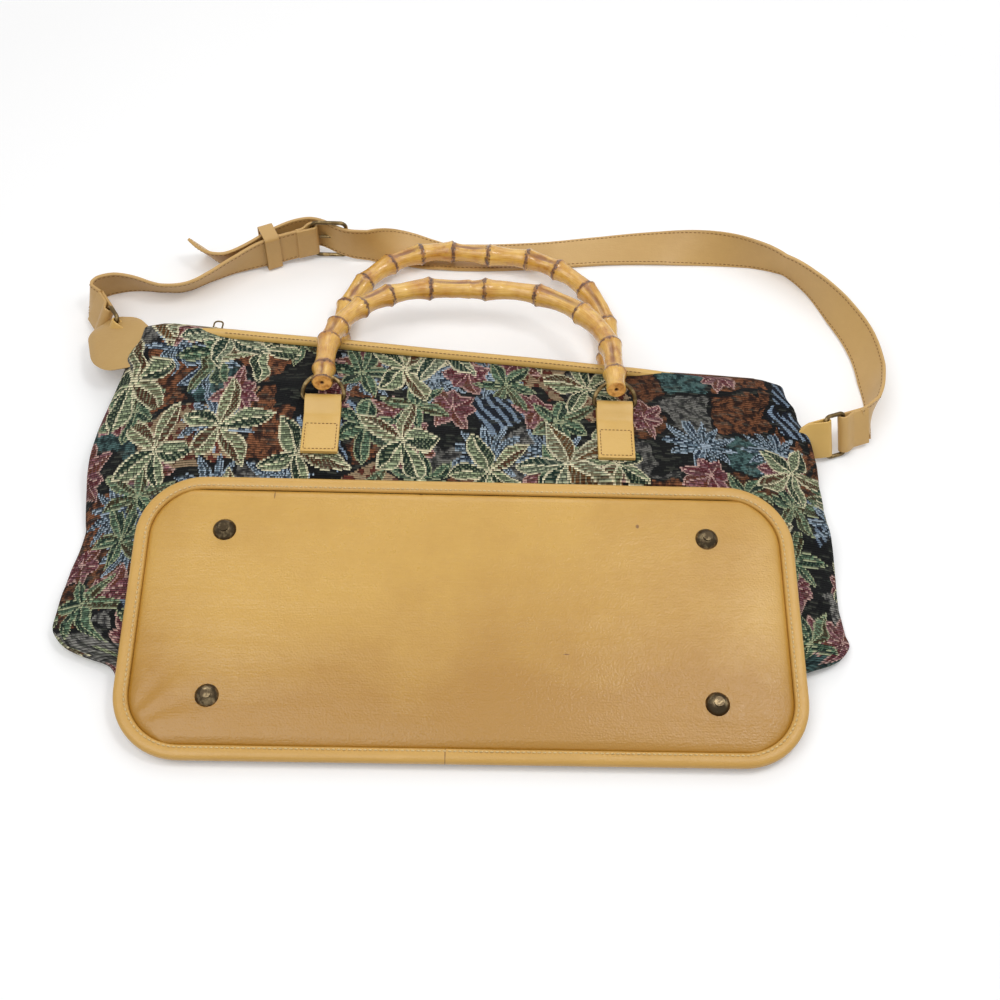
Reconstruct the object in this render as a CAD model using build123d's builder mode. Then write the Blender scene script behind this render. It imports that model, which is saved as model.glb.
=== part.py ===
from build123d import *
from math import atan2, cos, radians, sin, sqrt, tan
import os

# A zipped carpet bag lying on its back. X runs along the base, Y from the base to the zip, Z up.
# Lengths are in millimetres and angles in degrees.

# Base: a stiff panel in a welt binding, tilted up toward the zip
base_length = 460.0
base_width = 203.0
base_corner_radius = 46.0
base_tilt = 8.5
base_near_height = 9.0
panel_thickness = 2.0
board_thickness = 3.0
binding_width = 11.0
binding_lip = 2.0
binding_grip = 6.0
binding_edge_radius = 1.8
fit_gap = 0.3

# Feet on the base
foot_radius = 8.2
foot_height = 8.0
foot_rim_height = 1.6
foot_nub_radius = 3.4
foot_nub_height = 1.6
foot_shank_radius = 2.0
foot_end_inset = 62.0
foot_side_inset = 42.0
foot_shank_gap = 0.2

# Tapestry body: shares are of the lying length, the half width and the height
lying_length = 321.0
body_half_width = 268.0
body_height = 46.0
body_shift = -6.0
body_under = 8.0
body_section_shares = (
    (0.015, 0.66, 0.22, 0.70),
    (0.10, 0.80, 0.34, 0.70),
    (0.205, 0.86, 0.46, 0.66),
    (0.245, 0.98, 0.52, 0.64),
    (0.285, 1.02, 0.58, 0.62),
    (0.38, 1.005, 0.69, 0.60),
    (0.52, 1.0, 0.80, 0.60),
    (0.64, 1.0, 0.85, 0.62),
    (0.70, 1.0, 0.93, 0.64),
    (0.78, 0.995, 1.0, 0.66),
    (0.86, 0.985, 0.99, 0.68),
)
section_foot_share = 0.93
section_belly_share = 0.36
section_shoulder_share = 0.945
section_crown_share = 0.62
section_crown_rise_share = 0.92
far_shoulder_share = 1.0

# Zip edge at the far side, turned a little in plan
zip_skew = 5.3
zip_half_length = 246.0
zip_shift = -6.0
zip_top = 38.0
zip_bottom = 10.0
leather = 1.8
band_width = 15.0
band_drop = 6.0
tape_thickness = 1.0
chain_width = 6.0
chain_thickness = 2.2
chain_half_length = 222.0
slider_length = 13.0
slider_wall = 1.4
slider_cap = 1.6
slider_end_gap = 22.0
bail_reach = 4.4
bail_wire_radius = 0.9
pull_length = 13.0
pull_half_width = 4.1
pull_wire_radius = 0.65

# Rings and leather tabs of the handles
ring_wire_radius = 1.5
ring_radius = 15.2
ring_corner_radius = 3.6
tab_leather = 1.7
tab_width = 27.0
tab_length = 46.0
tab_neck = 13.0
tab_tunnel_radius = 2.6
tab_seat_height = 42.4
front_bar_reach = 266.0
front_ring_rise = 55.0
rear_bar_inset = 3.2
rear_ring_rise = 10.9

# Bamboo handles
handle_half_span = 107.0
handle_height = 114.0
handle_shoulder_radius = 84.0
bamboo_radius = 8.1
knot_rise = 0.9
knot_half_length = 3.2
bamboo_tip = 7.5
bamboo_end_round = 1.5
pith_radius = 1.8
pith_depth = 3.0
hole_gap = 0.35
handle_rest_gap = 0.6
rear_handle_rise = 3.2
knot_shares = (0.07, 0.145, 0.225, 0.315, 0.405, 0.505, 0.605, 0.70, 0.785, 0.865, 0.935)

# Shoulder strap with its end tabs and rings
strap_width = 30.0
strap_thickness = 2.4
strap_fold_length = 22.0
strap_fold_neck = 9.0
strap_stations = 46
bend_share = 0.45
end_tab_width = 30.0
end_tab_length = 44.0
end_tab_neck = 14.0
end_ring_half_width = 17.0
end_ring_reach = 15.0
end_ring_corner_radius = 3.4
end_ring_wire_radius = 1.6
end_tunnel_radius = 2.3
end_bar_height = 17.0
left_tab_turn = 33.0
right_tab_turn = 70.0
end_tab_roll = 60.0
left_bar_overhang = 13.0
left_bar_reach = 349.0
right_bar_overhang = 4.0
right_bar_reach = 264.0
buckle_point = (-118.0, 456.5)
buckle_height = 21.0
buckle_half_length = 14.0
buckle_half_width = 18.0
buckle_wire_radius = 1.6
buckle_corner_radius = 5.0
buckle_fold_length = 14.0
prong_radius = 1.2
prong_gap = 0.4
keeper_point = (-167.0, 448.5)
keeper_height = 18.0
keeper_turn = 25.5
keeper_length = 12.0
keeper_half_width = 8.2
keeper_gap = 1.0
keeper_leather = 1.6

# Routes of the two strap lengths: across, from the base's near edge, up, and roll on edge
long_route = [
    (315, 293, 14.5, 95),
    (319, 322, 13.6, 118),
    (315, 354, 13.6, 118),
    (300, 386, 14.2, 110),
    (283, 414, 15.1, 88),
    (264, 435, 14.7, 76),
    (238, 446, 15.1, 95),
    (203, 455, 12.4, 125),
    (160, 461, 6.6, 158),
    (115, 461, 2.8, 174),
    (68, 457, 1.3, 180),
    (20, 454, 1.3, 180),
    (-25, 455, 1.3, 180),
    (-60, 459, 9.9, 144),
    (-86, 453, 17.0, 98),
    (-106, 452.0, 21.0, 90),
    (-129, 467, 21.0, 90),
    (-148, 464.5, 19.4, 90),
    (-166, 453.5, 18.0, 90),
    (-183, 444, 16.8, 90),
    (-200, 438, 15.6, 90),
    (-214, 444, 15.4, 92),
    (-223, 455, 15.4, 94),
]
short_route = [
    (-305, 394, 15.2, 100),
    (-298, 406, 15.2, 94),
    (-284, 413, 15.2, 90),
    (-266, 413, 15.2, 96),
    (-246, 407, 14.6, 108),
    (-227, 409, 14.6, 108),
    (-210, 421, 15.2, 96),
    (-192, 432, 16.8, 90),
    (-168, 443.5, 18.0, 90),
]

near_y = -lying_length / 2
zip_y = lying_length / 2
tilt = radians(base_tilt)
skew = radians(zip_skew)
base_normal = (0, -sin(tilt), cos(tilt))
base_plane = Plane(origin=(0, near_y, base_near_height), x_dir=(1, 0, 0), z_dir=base_normal)
seat_depth = panel_thickness + board_thickness
zip_plane = Plane(origin=(0, zip_y, 0), x_dir=(cos(skew), -sin(skew), 0), z_dir=(0, 0, 1))
zip_mid = (zip_top + zip_bottom) / 2

os.makedirs("parts", exist_ok=True)


def save(piece, name):
    """Label a finished piece and write its file."""
    piece.part.label = name
    export_step(piece.part, f"parts/{name}.step")


def turned(plane, along, up):
    """Plane at the origin of another one, with a new X direction and a new Z direction."""
    return Plane(origin=plane.origin, x_dir=along, z_dir=up)


def profile_plane(plane):
    """Plane for a profile that is seen along the X direction of another plane."""
    return Plane(origin=plane.origin, x_dir=plane.y_dir, z_dir=plane.x_dir)


def moved(plane, x, y, z):
    """The same plane with its origin moved along its own directions."""
    return Plane(origin=plane.from_local_coords((x, y, z)), x_dir=plane.x_dir, z_dir=plane.z_dir)


# Base panel, board, binding and feet
foot_x = base_length / 2 - foot_end_inset
foot_points = {
    "foot_near_left": (-foot_x, foot_side_inset),
    "foot_near_right": (foot_x, foot_side_inset),
    "foot_far_left": (-foot_x, base_width - foot_side_inset),
    "foot_far_right": (foot_x, base_width - foot_side_inset),
}
panel_inset = binding_width - binding_grip
board_inset = binding_width + fit_gap

with BuildPart() as base_panel:
    with BuildSketch(base_plane):
        with Locations((0, base_width / 2)):
            RectangleRounded(
                base_length - 2 * panel_inset,
                base_width - 2 * panel_inset,
                base_corner_radius - panel_inset,
            )
        with Locations(*foot_points.values()):
            Circle(foot_shank_radius + foot_shank_gap, mode=Mode.SUBTRACT)
    extrude(amount=-panel_thickness)
save(base_panel, "base_panel")

with BuildPart() as base_board:
    with BuildSketch(base_plane.offset(-panel_thickness)):
        with Locations((0, base_width / 2)):
            RectangleRounded(
                base_length - 2 * board_inset,
                base_width - 2 * board_inset,
                base_corner_radius - board_inset,
            )
        with Locations(*foot_points.values()):
            Circle(foot_shank_radius + foot_shank_gap, mode=Mode.SUBTRACT)
    extrude(amount=-board_thickness)
save(base_board, "base_board")

with BuildPart() as base_binding:
    with BuildSketch(base_plane.offset(binding_lip)):
        with Locations((0, base_width / 2)):
            RectangleRounded(base_length, base_width, base_corner_radius)
    extrude(amount=-(binding_lip + seat_depth))
    rim_edges = base_binding.faces().sort_by(Axis(base_plane.origin, base_normal))[-1].edges()
    fillet(rim_edges, binding_edge_radius)
    with BuildSketch(base_plane.offset(binding_lip)):
        with Locations((0, base_width / 2)):
            RectangleRounded(
                base_length - 2 * binding_width,
                base_width - 2 * binding_width,
                base_corner_radius - binding_width,
            )
    extrude(amount=-(binding_lip + seat_depth), mode=Mode.SUBTRACT)
    with BuildSketch(base_plane):
        with Locations((0, base_width / 2)):
            RectangleRounded(
                base_length - 2 * panel_inset,
                base_width - 2 * panel_inset,
                base_corner_radius - panel_inset,
            )
    extrude(amount=-panel_thickness, mode=Mode.SUBTRACT)
save(base_binding, "base_binding")

for foot_name, (foot_u, foot_v) in foot_points.items():
    foot_base = moved(base_plane, foot_u, foot_v, 0)
    foot_side = turned(foot_base, foot_base.x_dir, foot_base.x_dir.cross(foot_base.z_dir))
    with BuildPart() as foot:
        with BuildSketch(foot_side):
            with BuildLine():
                Polyline(
                    (0, foot_height),
                    (0, -seat_depth),
                    (foot_shank_radius, -seat_depth),
                    (foot_shank_radius, 0),
                    (foot_radius, 0),
                    (foot_radius, foot_rim_height),
                )
                RadiusArc(
                    (foot_radius, foot_rim_height),
                    (foot_nub_radius, foot_height - foot_nub_height),
                    -foot_height,
                )
                Polyline(
                    (foot_nub_radius, foot_height - foot_nub_height),
                    (foot_nub_radius, foot_height),
                    (0, foot_height),
                )
            make_face()
        revolve(axis=Axis(foot_base.origin, base_normal))
    save(foot, foot_name)


# Seats of the handle tabs: the origin is under the ring's bar, Y points to the loop
tab_loop_radius = tab_tunnel_radius + tab_leather
front_bar_y = near_y + front_bar_reach
front_seats = {
    "front_left": Plane(origin=(-handle_half_span, front_bar_y, tab_seat_height)),
    "front_right": Plane(origin=(handle_half_span, front_bar_y, tab_seat_height)),
}
rear_seats = {}
for rear_name, rear_x in (("rear_left", -handle_half_span), ("rear_right", handle_half_span)):
    rear_spot = moved(zip_plane, rear_x, -rear_bar_inset, zip_bottom)
    rear_seats[rear_name] = Plane(origin=rear_spot.origin, x_dir=-rear_spot.x_dir, z_dir=(0, 0, -1))

# Seats of the end tabs, rolled so that the ring's bar stands up steeply
end_loop_radius = end_tunnel_radius + tab_leather
end_seats = {}
end_bars = {}
for end_name, end_point, end_turn, end_side in (
    ("left", (-body_half_width - left_bar_overhang, left_bar_reach), left_tab_turn, -1),
    ("right", (body_half_width + right_bar_overhang, right_bar_reach), right_tab_turn, 1),
):
    out = Vector(end_side * sin(radians(end_turn)), cos(radians(end_turn)), 0)
    roll = -end_side * radians(end_tab_roll)
    bar = Vector(out.Y * cos(roll), -out.X * cos(roll), sin(roll))
    bar_plane = Plane(
        origin=(end_point[0], near_y + end_point[1], end_bar_height), x_dir=bar, z_dir=bar.cross(out)
    )
    end_bars[end_name] = bar_plane
    end_seats[end_name] = moved(bar_plane, 0, 0, -end_loop_radius)

# Sections across the body, from the base to the zip
sections = []
for reach_share, width_share, top_share, shoulder_share in body_section_shares:
    turned_share = max(0, reach_share - base_width / lying_length) / (1 - base_width / lying_length)
    turn = skew * turned_share
    station = Plane(
        origin=(body_shift, near_y + lying_length * reach_share, 0),
        x_dir=(cos(turn), -sin(turn), 0),
        z_dir=(-sin(turn), -cos(turn), 0),
    )
    sections.append(
        (station, body_half_width * width_share, body_height * top_share, shoulder_share, -body_under)
    )
# the last two sections are alike, so that the zip band lies on a flat strip
for far_inset in (band_width, 0):
    far_spot = moved(zip_plane, zip_shift, -far_inset, 0)
    far_station = Plane(origin=far_spot.origin, x_dir=zip_plane.x_dir, z_dir=-zip_plane.y_dir)
    sections.append((far_station, zip_half_length, zip_top, far_shoulder_share, zip_bottom))

with BuildPart() as tapestry_body:
    for station, half_width, top, shoulder_share, under in sections:
        foot_half = half_width * section_foot_share
        shoulder_half = half_width * section_shoulder_share
        shoulder_z = under + (top - under) * shoulder_share
        belly_z = under + (top - under) * section_belly_share
        crown_half = shoulder_half * section_crown_share
        crown_z = shoulder_z + (top - shoulder_z) * section_crown_rise_share
        with BuildSketch(station):
            with BuildLine():
                Line((-foot_half, under), (foot_half, under))
                ThreePointArc((foot_half, under), (half_width, belly_z), (shoulder_half, shoulder_z))
                Spline(
                    (shoulder_half, shoulder_z),
                    (crown_half, crown_z),
                    (0, top),
                    (-crown_half, crown_z),
                    (-shoulder_half, shoulder_z),
                )
                ThreePointArc((-shoulder_half, shoulder_z), (-half_width, belly_z), (-foot_half, under))
            make_face()
    loft(ruled=True)
    # flat back to lie on
    with BuildSketch(Plane.XY):
        Rectangle(4 * body_half_width, 4 * body_half_width)
    extrude(amount=-4 * body_under, mode=Mode.SUBTRACT)
    # bed of the base
    with BuildSketch(base_plane.offset(-seat_depth)):
        with Locations((0, base_width / 2)):
            RectangleRounded(base_length, base_width, base_corner_radius)
    extrude(amount=body_height, mode=Mode.SUBTRACT)
    # near corners follow the round corners of the base
    with BuildSketch(base_plane.offset(-body_height)):
        with Locations((0, base_corner_radius / 2)):
            Rectangle(4 * body_half_width, base_corner_radius)
        with Locations((0, base_width / 2)):
            RectangleRounded(base_length, base_width, base_corner_radius, mode=Mode.SUBTRACT)
    extrude(amount=2 * body_height, mode=Mode.SUBTRACT)
    # room for the lower corners of the handle rings
    for seat in (*front_seats.values(), *rear_seats.values()):
        with BuildSketch(seat):
            Rectangle(2 * (ring_radius + 2 * ring_wire_radius), 4 * tab_loop_radius)
        extrude(amount=body_height, mode=Mode.SUBTRACT)
    # beds of the leather tabs
    for seat in (*front_seats.values(), *rear_seats.values()):
        with BuildSketch(seat):
            with Locations((0, tab_loop_radius - tab_length / 2)):
                Rectangle(tab_width, tab_length + 2 * tab_loop_radius)
        extrude(amount=body_height, mode=Mode.SUBTRACT)
    for seat in end_seats.values():
        with BuildSketch(seat):
            with Locations((0, end_loop_radius - end_tab_length / 2)):
                Rectangle(end_tab_width, end_tab_length + 2 * end_loop_radius)
        extrude(amount=body_height, mode=Mode.SUBTRACT)
save(tapestry_body, "tapestry_body")


def folded_strip(seat, width, length, neck, tunnel_radius, sheet):
    """Folded strip: two stitched layers, and a loop round the bar of a ring."""
    loop_radius = tunnel_radius + sheet
    with BuildPart() as strip:
        with BuildSketch(profile_plane(seat)):
            with BuildSketch(mode=Mode.PRIVATE) as drop:
                with Locations((0, loop_radius)):
                    Circle(loop_radius)
                with Locations((-neck, sheet)):
                    Rectangle(sheet, 2 * sheet)
                make_hull()
            add(drop.sketch)
            with Locations((-(neck + length) / 2, sheet)):
                Rectangle(length - neck, 2 * sheet)
            # room for the bar, which narrows to where the two layers meet
            with BuildSketch(mode=Mode.PRIVATE) as room:
                with Locations((0, loop_radius)):
                    Circle(tunnel_radius)
                with Locations((sheet - neck, sheet)):
                    Rectangle(fit_gap, fit_gap)
                make_hull()
            add(room.sketch, mode=Mode.SUBTRACT)
        extrude(amount=width / 2, both=True)
    return strip


for tab_name, seat in (*front_seats.items(), *rear_seats.items()):
    tab = folded_strip(seat, tab_width, tab_length, tab_neck, tab_tunnel_radius, tab_leather)
    save(tab, f"{tab_name}_tab")
for tab_name, seat in end_seats.items():
    tab = folded_strip(seat, end_tab_width, end_tab_length, end_tab_neck, end_tunnel_radius, tab_leather)
    save(tab, f"{tab_name}_end_tab")


def wire_loop(points, corner_radii, wire_radius, plane):
    """Closed wire bent round rounded corners in a plane."""
    with BuildPart() as loop:
        with BuildLine(plane) as way:
            FilletPolyline(*points, radius=corner_radii, close=True)
        with BuildSketch(Plane(origin=way.wire() @ 0, z_dir=way.wire() % 0)):
            Circle(wire_radius)
        sweep(path=way.wire())
    return loop


def d_ring(bar_plane):
    """Wire ring with a straight bar and a round bow; X runs along the bar, Y to the bow."""
    flat_half = ring_radius - ring_corner_radius
    with BuildPart() as ring:
        with BuildLine(bar_plane) as way:
            Line((-flat_half, 0), (flat_half, 0))
            RadiusArc((flat_half, 0), (ring_radius, ring_corner_radius), -ring_corner_radius)
            ThreePointArc(
                (ring_radius, ring_corner_radius),
                (0, ring_corner_radius + ring_radius),
                (-ring_radius, ring_corner_radius),
            )
            RadiusArc((-ring_radius, ring_corner_radius), (-flat_half, 0), -ring_corner_radius)
        with BuildSketch(Plane(origin=way.wire() @ 0, z_dir=way.wire() % 0)):
            Circle(ring_wire_radius)
        sweep(path=way.wire())
    return ring


# Rings of the handles, each with its bar in the loop of its tab
ring_planes = {}
for ring_name, seat in front_seats.items():
    rise = radians(front_ring_rise)
    ring_planes[ring_name] = Plane(
        origin=seat.from_local_coords((0, 0, tab_loop_radius)),
        x_dir=(1, 0, 0),
        z_dir=(0, -sin(rise), cos(rise)),
    )
for ring_name, seat in rear_seats.items():
    rise = radians(rear_ring_rise)
    out = zip_plane.y_dir
    ring_planes[ring_name] = Plane(
        origin=seat.from_local_coords((0, 0, tab_loop_radius)),
        x_dir=zip_plane.x_dir,
        z_dir=(-out.X * sin(rise), -out.Y * sin(rise), cos(rise)),
    )
for ring_name, ring_plane in ring_planes.items():
    save(d_ring(ring_plane), f"{ring_name}_ring")

# The bow of the ring runs through the end of the bamboo
bow_sag = ring_radius - sqrt(ring_radius**2 - bamboo_radius**2)
hole_reach = ring_corner_radius + ring_radius - bow_sag / 2
hole_radius = bow_sag / 2 + ring_wire_radius + hole_gap


def bamboo_handle(hole_plane):
    """Bent bamboo with raised knots and drilled ends; X runs along the holes, Y to the bow."""
    with BuildPart() as handle:
        with BuildLine(hole_plane) as way:
            FilletPolyline(
                (-handle_half_span, -bamboo_tip),
                (-handle_half_span, handle_height),
                (handle_half_span, handle_height),
                (handle_half_span, -bamboo_tip),
                radius=handle_shoulder_radius,
            )
        stem = way.wire()
        with BuildSketch(Plane(origin=stem @ 0, z_dir=stem % 0)):
            Circle(bamboo_radius)
        sweep(path=stem)
        fillet(handle.faces().filter_by(GeomType.PLANE).edges(), bamboo_end_round)
        for share in knot_shares:
            knot = stem @ share
            run = stem % share
            with BuildSketch(Plane(origin=knot, x_dir=hole_plane.z_dir, z_dir=hole_plane.z_dir.cross(run))):
                with BuildLine():
                    Line(
                        (bamboo_radius - knot_rise, knot_half_length),
                        (bamboo_radius - knot_rise, -knot_half_length),
                    )
                    ThreePointArc(
                        (bamboo_radius - knot_rise, -knot_half_length),
                        (bamboo_radius + knot_rise, 0),
                        (bamboo_radius - knot_rise, knot_half_length),
                    )
                make_face()
            revolve(axis=Axis(knot, run))
        for side in (-1, 1):
            eye = moved(hole_plane, side * handle_half_span, 0, 0)
            with BuildSketch(turned(eye, eye.y_dir, eye.x_dir)):
                Circle(hole_radius)
            extrude(amount=2 * bamboo_radius, both=True, mode=Mode.SUBTRACT)
            tip = moved(eye, 0, -bamboo_tip, 0)
            with BuildSketch(turned(tip, tip.x_dir, tip.y_dir)):
                Circle(pith_radius)
            extrude(amount=pith_depth, mode=Mode.SUBTRACT)
    return handle


front_rise = radians(front_ring_rise)
front_hole_y = front_bar_y + hole_reach * cos(front_rise)
front_hole_z = tab_seat_height + tab_loop_radius + hole_reach * sin(front_rise)
# the front handle leans on the far edge of the zip band
lean_reach = zip_y + handle_half_span * tan(skew) + leather - front_hole_y
lean_fall = front_hole_z - zip_top - leather - bamboo_radius - knot_rise - handle_rest_gap
front_drop = atan2(lean_fall, lean_reach)
front_holes = Plane(
    origin=(0, front_hole_y, front_hole_z),
    x_dir=(1, 0, 0),
    z_dir=(0, sin(front_drop), cos(front_drop)),
)
front_handle = bamboo_handle(front_holes)
save(front_handle, "front_handle")

rear_rise = radians(rear_ring_rise)
rear_lift = radians(rear_handle_rise)
rear_mid = moved(
    zip_plane,
    0,
    -rear_bar_inset + hole_reach * cos(rear_rise),
    zip_bottom - tab_loop_radius + hole_reach * sin(rear_rise),
)
rear_holes = Plane(
    origin=rear_mid.origin,
    x_dir=rear_mid.x_dir,
    z_dir=(-rear_mid.y_dir.X * sin(rear_lift), -rear_mid.y_dir.Y * sin(rear_lift), cos(rear_lift)),
)
rear_handle = bamboo_handle(rear_holes)
save(rear_handle, "rear_handle")

# Zip: bands, tapes, chain, slider and pull, all drawn in section and run along the zip
zip_section = profile_plane(moved(zip_plane, zip_shift, 0, 0))

with BuildPart() as front_zip_band:
    with BuildSketch(zip_section):
        with BuildLine():
            Polyline(
                (-band_width, zip_top),
                (0, zip_top),
                (0, zip_top - band_drop),
                (leather, zip_top - band_drop),
                (leather, zip_top + leather),
                (-band_width, zip_top + leather),
                close=True,
            )
        make_face()
    extrude(amount=zip_half_length, both=True)
save(front_zip_band, "front_zip_band")

with BuildPart() as rear_zip_band:
    with BuildSketch(zip_section):
        with Locations((leather / 2, zip_bottom + band_drop / 2)):
            Rectangle(leather, band_drop)
    extrude(amount=zip_half_length, both=True)
save(rear_zip_band, "rear_zip_band")

tape_height = zip_mid - zip_bottom - band_drop
for tape_name, tape_z in (
    ("front_zip_tape", zip_mid + tape_height / 2),
    ("rear_zip_tape", zip_mid - tape_height / 2),
):
    with BuildPart() as zip_tape:
        with BuildSketch(zip_section):
            with Locations((tape_thickness / 2, tape_z)):
                Rectangle(tape_thickness, tape_height)
        extrude(amount=zip_half_length, both=True)
    save(zip_tape, tape_name)

with BuildPart() as zip_chain:
    with BuildSketch(zip_section):
        with Locations((tape_thickness + chain_thickness / 2, zip_mid)):
            Rectangle(chain_thickness, chain_width)
    extrude(amount=chain_half_length, both=True)
save(zip_chain, "zip_chain")

slider_start = slider_end_gap - chain_half_length
slider_back = tape_thickness + fit_gap
slider_inner = tape_thickness + chain_thickness + fit_gap
slider_front = slider_inner + slider_cap
slider_half_width = chain_width / 2 + fit_gap + slider_wall
bail_y = slider_front + bail_reach
slider_section = profile_plane(moved(zip_plane, slider_start, 0, zip_mid))
with BuildPart() as zip_slider:
    with BuildSketch(slider_section):
        with Locations(((slider_back + slider_front) / 2, 0)):
            Rectangle(slider_front - slider_back, 2 * slider_half_width)
        with Locations(((slider_back + slider_inner) / 2, 0)):
            Rectangle(slider_inner - slider_back, chain_width + 2 * fit_gap, mode=Mode.SUBTRACT)
    extrude(amount=slider_length / 2, both=True)
    with BuildSketch(slider_section):
        with Locations(((slider_front + bail_y) / 2, 0)):
            Rectangle(bail_y + 2 * bail_wire_radius - slider_front, 2 * slider_half_width)
        with Locations(((slider_front + bail_y) / 2 - bail_wire_radius, 0)):
            Rectangle(
                bail_y - slider_front, 2 * (slider_half_width - 2 * bail_wire_radius), mode=Mode.SUBTRACT
            )
    extrude(amount=bail_wire_radius, both=True)
save(zip_slider, "zip_slider")

pull_near = bail_y - bail_wire_radius * sqrt(2) - fit_gap - pull_wire_radius
pull_half = pull_half_width - pull_wire_radius
pull_plane = moved(zip_plane, slider_start, 0, zip_mid)
zip_pull = wire_loop(
    (
        (-pull_half, pull_near),
        (pull_half, pull_near),
        (pull_half, pull_near + pull_length),
        (-pull_half, pull_near + pull_length),
    ),
    pull_half - pull_wire_radius,
    pull_wire_radius,
    pull_plane,
)
save(zip_pull, "zip_pull")

# Rings of the shoulder strap
for end_name, bar_plane in end_bars.items():
    strap_ring = wire_loop(
        (
            (-end_ring_half_width, 0),
            (end_ring_half_width, 0),
            (end_ring_half_width, end_ring_reach),
            (-end_ring_half_width, end_ring_reach),
        ),
        end_ring_corner_radius,
        end_ring_wire_radius,
        bar_plane,
    )
    save(strap_ring, f"{end_name}_strap_ring")


def fold_seat(bar_plane, sheet):
    """Seat of a folded strap end; its bar lies on the plane's origin, X along the bar, Y to the loop."""
    return moved(bar_plane, 0, 0, -(end_tunnel_radius + sheet))


def way_radii(points):
    """Bend radius for each inner corner of a route, from its runs and its turn."""
    radii = []
    for before, corner, after in zip(points[:-2], points[1:-1], points[2:]):
        run_in = Vector(*corner) - Vector(*before)
        run_out = Vector(*after) - Vector(*corner)
        half_turn = radians(run_in.get_angle(run_out)) / 2
        radii.append(bend_share * min(run_in.length, run_out.length) / tan(half_turn))
    return radii


def strap_length(route):
    """Ribbon on edge along a route; each route point has a place, a height and a roll."""
    points = [(x, near_y + reach) for x, reach, height, roll in route]
    radii = way_radii(points)
    print("bend radii", [round(radius, 1) for radius in radii])
    spans = [0]
    for start, end in zip(points[:-1], points[1:]):
        spans.append(spans[-1] + (Vector(*end) - Vector(*start)).length)
    with BuildPart() as ribbon:
        with BuildLine() as way:
            FilletPolyline(*points, radius=radii)
        line = way.wire()
        for step in range(strap_stations + 1):
            share = step / strap_stations
            place = line @ share
            ahead = line % share
            reach = share * spans[-1]
            index = max(i for i in range(len(spans) - 1) if spans[i] <= reach)
            blend = (reach - spans[index]) / (spans[index + 1] - spans[index])
            height = route[index][2] * (1 - blend) + route[index + 1][2] * blend
            roll = radians(route[index][3] * (1 - blend) + route[index + 1][3] * blend)
            across = (-ahead.Y * cos(roll), ahead.X * cos(roll), sin(roll))
            with BuildSketch(Plane(origin=(place.X, place.Y, height), x_dir=across, z_dir=ahead)):
                Rectangle(strap_width, strap_thickness)
        loft(ruled=True)
    return ribbon


# Folded strap ends round the far bars of the rings and the heel bar of the buckle
strap_fold_seats = {}
for end_name, bar_plane in end_bars.items():
    far_bar = moved(bar_plane, 0, end_ring_reach, 0)
    back = Plane(origin=far_bar.origin, x_dir=-far_bar.x_dir, z_dir=far_bar.z_dir)
    strap_fold_seats[end_name] = fold_seat(back, strap_thickness)

buckle_mid = Vector(buckle_point[0], near_y + buckle_point[1], buckle_height)
buckle_plane = Plane(origin=buckle_mid, x_dir=(-1, 0, 0), z_dir=(0, 1, 0))
heel = moved(buckle_plane, buckle_half_length, 0, 0)
last_point = Vector(short_route[-1][0], near_y + short_route[-1][1], buckle_height)
heel_run = (heel.origin - last_point).normalized()
heel_plane = Plane(origin=heel.origin, x_dir=(0, 0, 1), z_dir=Vector(0, 0, 1).cross(heel_run))
heel_seat = fold_seat(heel_plane, strap_thickness)

fold_starts = {
    name: seat.from_local_coords((0, -strap_fold_length + strap_thickness, strap_thickness))
    for name, seat in strap_fold_seats.items()
}
heel_start = heel_seat.from_local_coords((0, -buckle_fold_length + strap_thickness, strap_thickness))
right_start = fold_starts["right"]
left_start = fold_starts["left"]
long_way = [(right_start.X, right_start.Y - near_y, end_bar_height, end_tab_roll), *long_route]
short_way = [
    (left_start.X, left_start.Y - near_y, end_bar_height, 180 - end_tab_roll),
    *short_route,
    (heel_start.X, heel_start.Y - near_y, buckle_height, 90),
]
print("long way start", long_way[0], "short way ends", short_way[0], short_way[-1])

prong_start = moved(buckle_plane, buckle_half_length, 0, buckle_wire_radius + prong_radius)
prong_plane = turned(prong_start, (0, 0, 1), (1, 0, 0))


def strap_fold(seat, length):
    """Folded end of the strap on a seat."""
    return folded_strip(seat, strap_width, length, strap_fold_neck, end_tunnel_radius, strap_thickness)


right_fold = strap_fold(strap_fold_seats["right"], strap_fold_length)
left_fold = strap_fold(strap_fold_seats["left"], strap_fold_length)
heel_fold = strap_fold(heel_seat, buckle_fold_length)
long_ribbon = strap_length(long_way)
short_ribbon = strap_length(short_way)

with BuildPart() as long_strap:
    add(long_ribbon.part)
    add(right_fold.part)
    # hole for the prong of the buckle
    with BuildSketch(prong_plane):
        Circle(prong_radius + prong_gap)
    extrude(amount=2 * buckle_half_length, mode=Mode.SUBTRACT)
save(long_strap, "long_strap")

with BuildPart() as short_strap:
    add(short_ribbon.part)
    add(left_fold.part)
    add(heel_fold.part)
save(short_strap, "short_strap")

strap_buckle = wire_loop(
    (
        (-buckle_half_length, -buckle_half_width),
        (buckle_half_length, -buckle_half_width),
        (buckle_half_length, buckle_half_width),
        (-buckle_half_length, buckle_half_width),
    ),
    buckle_corner_radius,
    buckle_wire_radius,
    buckle_plane,
)
save(strap_buckle, "strap_buckle")

prong_set_back = end_tunnel_radius + strap_thickness + fit_gap
with BuildPart() as buckle_prong:
    with BuildSketch(moved(prong_plane, 0, 0, prong_set_back)):
        Circle(prong_radius)
    extrude(amount=2 * buckle_half_length + buckle_wire_radius - prong_set_back)
save(buckle_prong, "buckle_prong")

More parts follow.
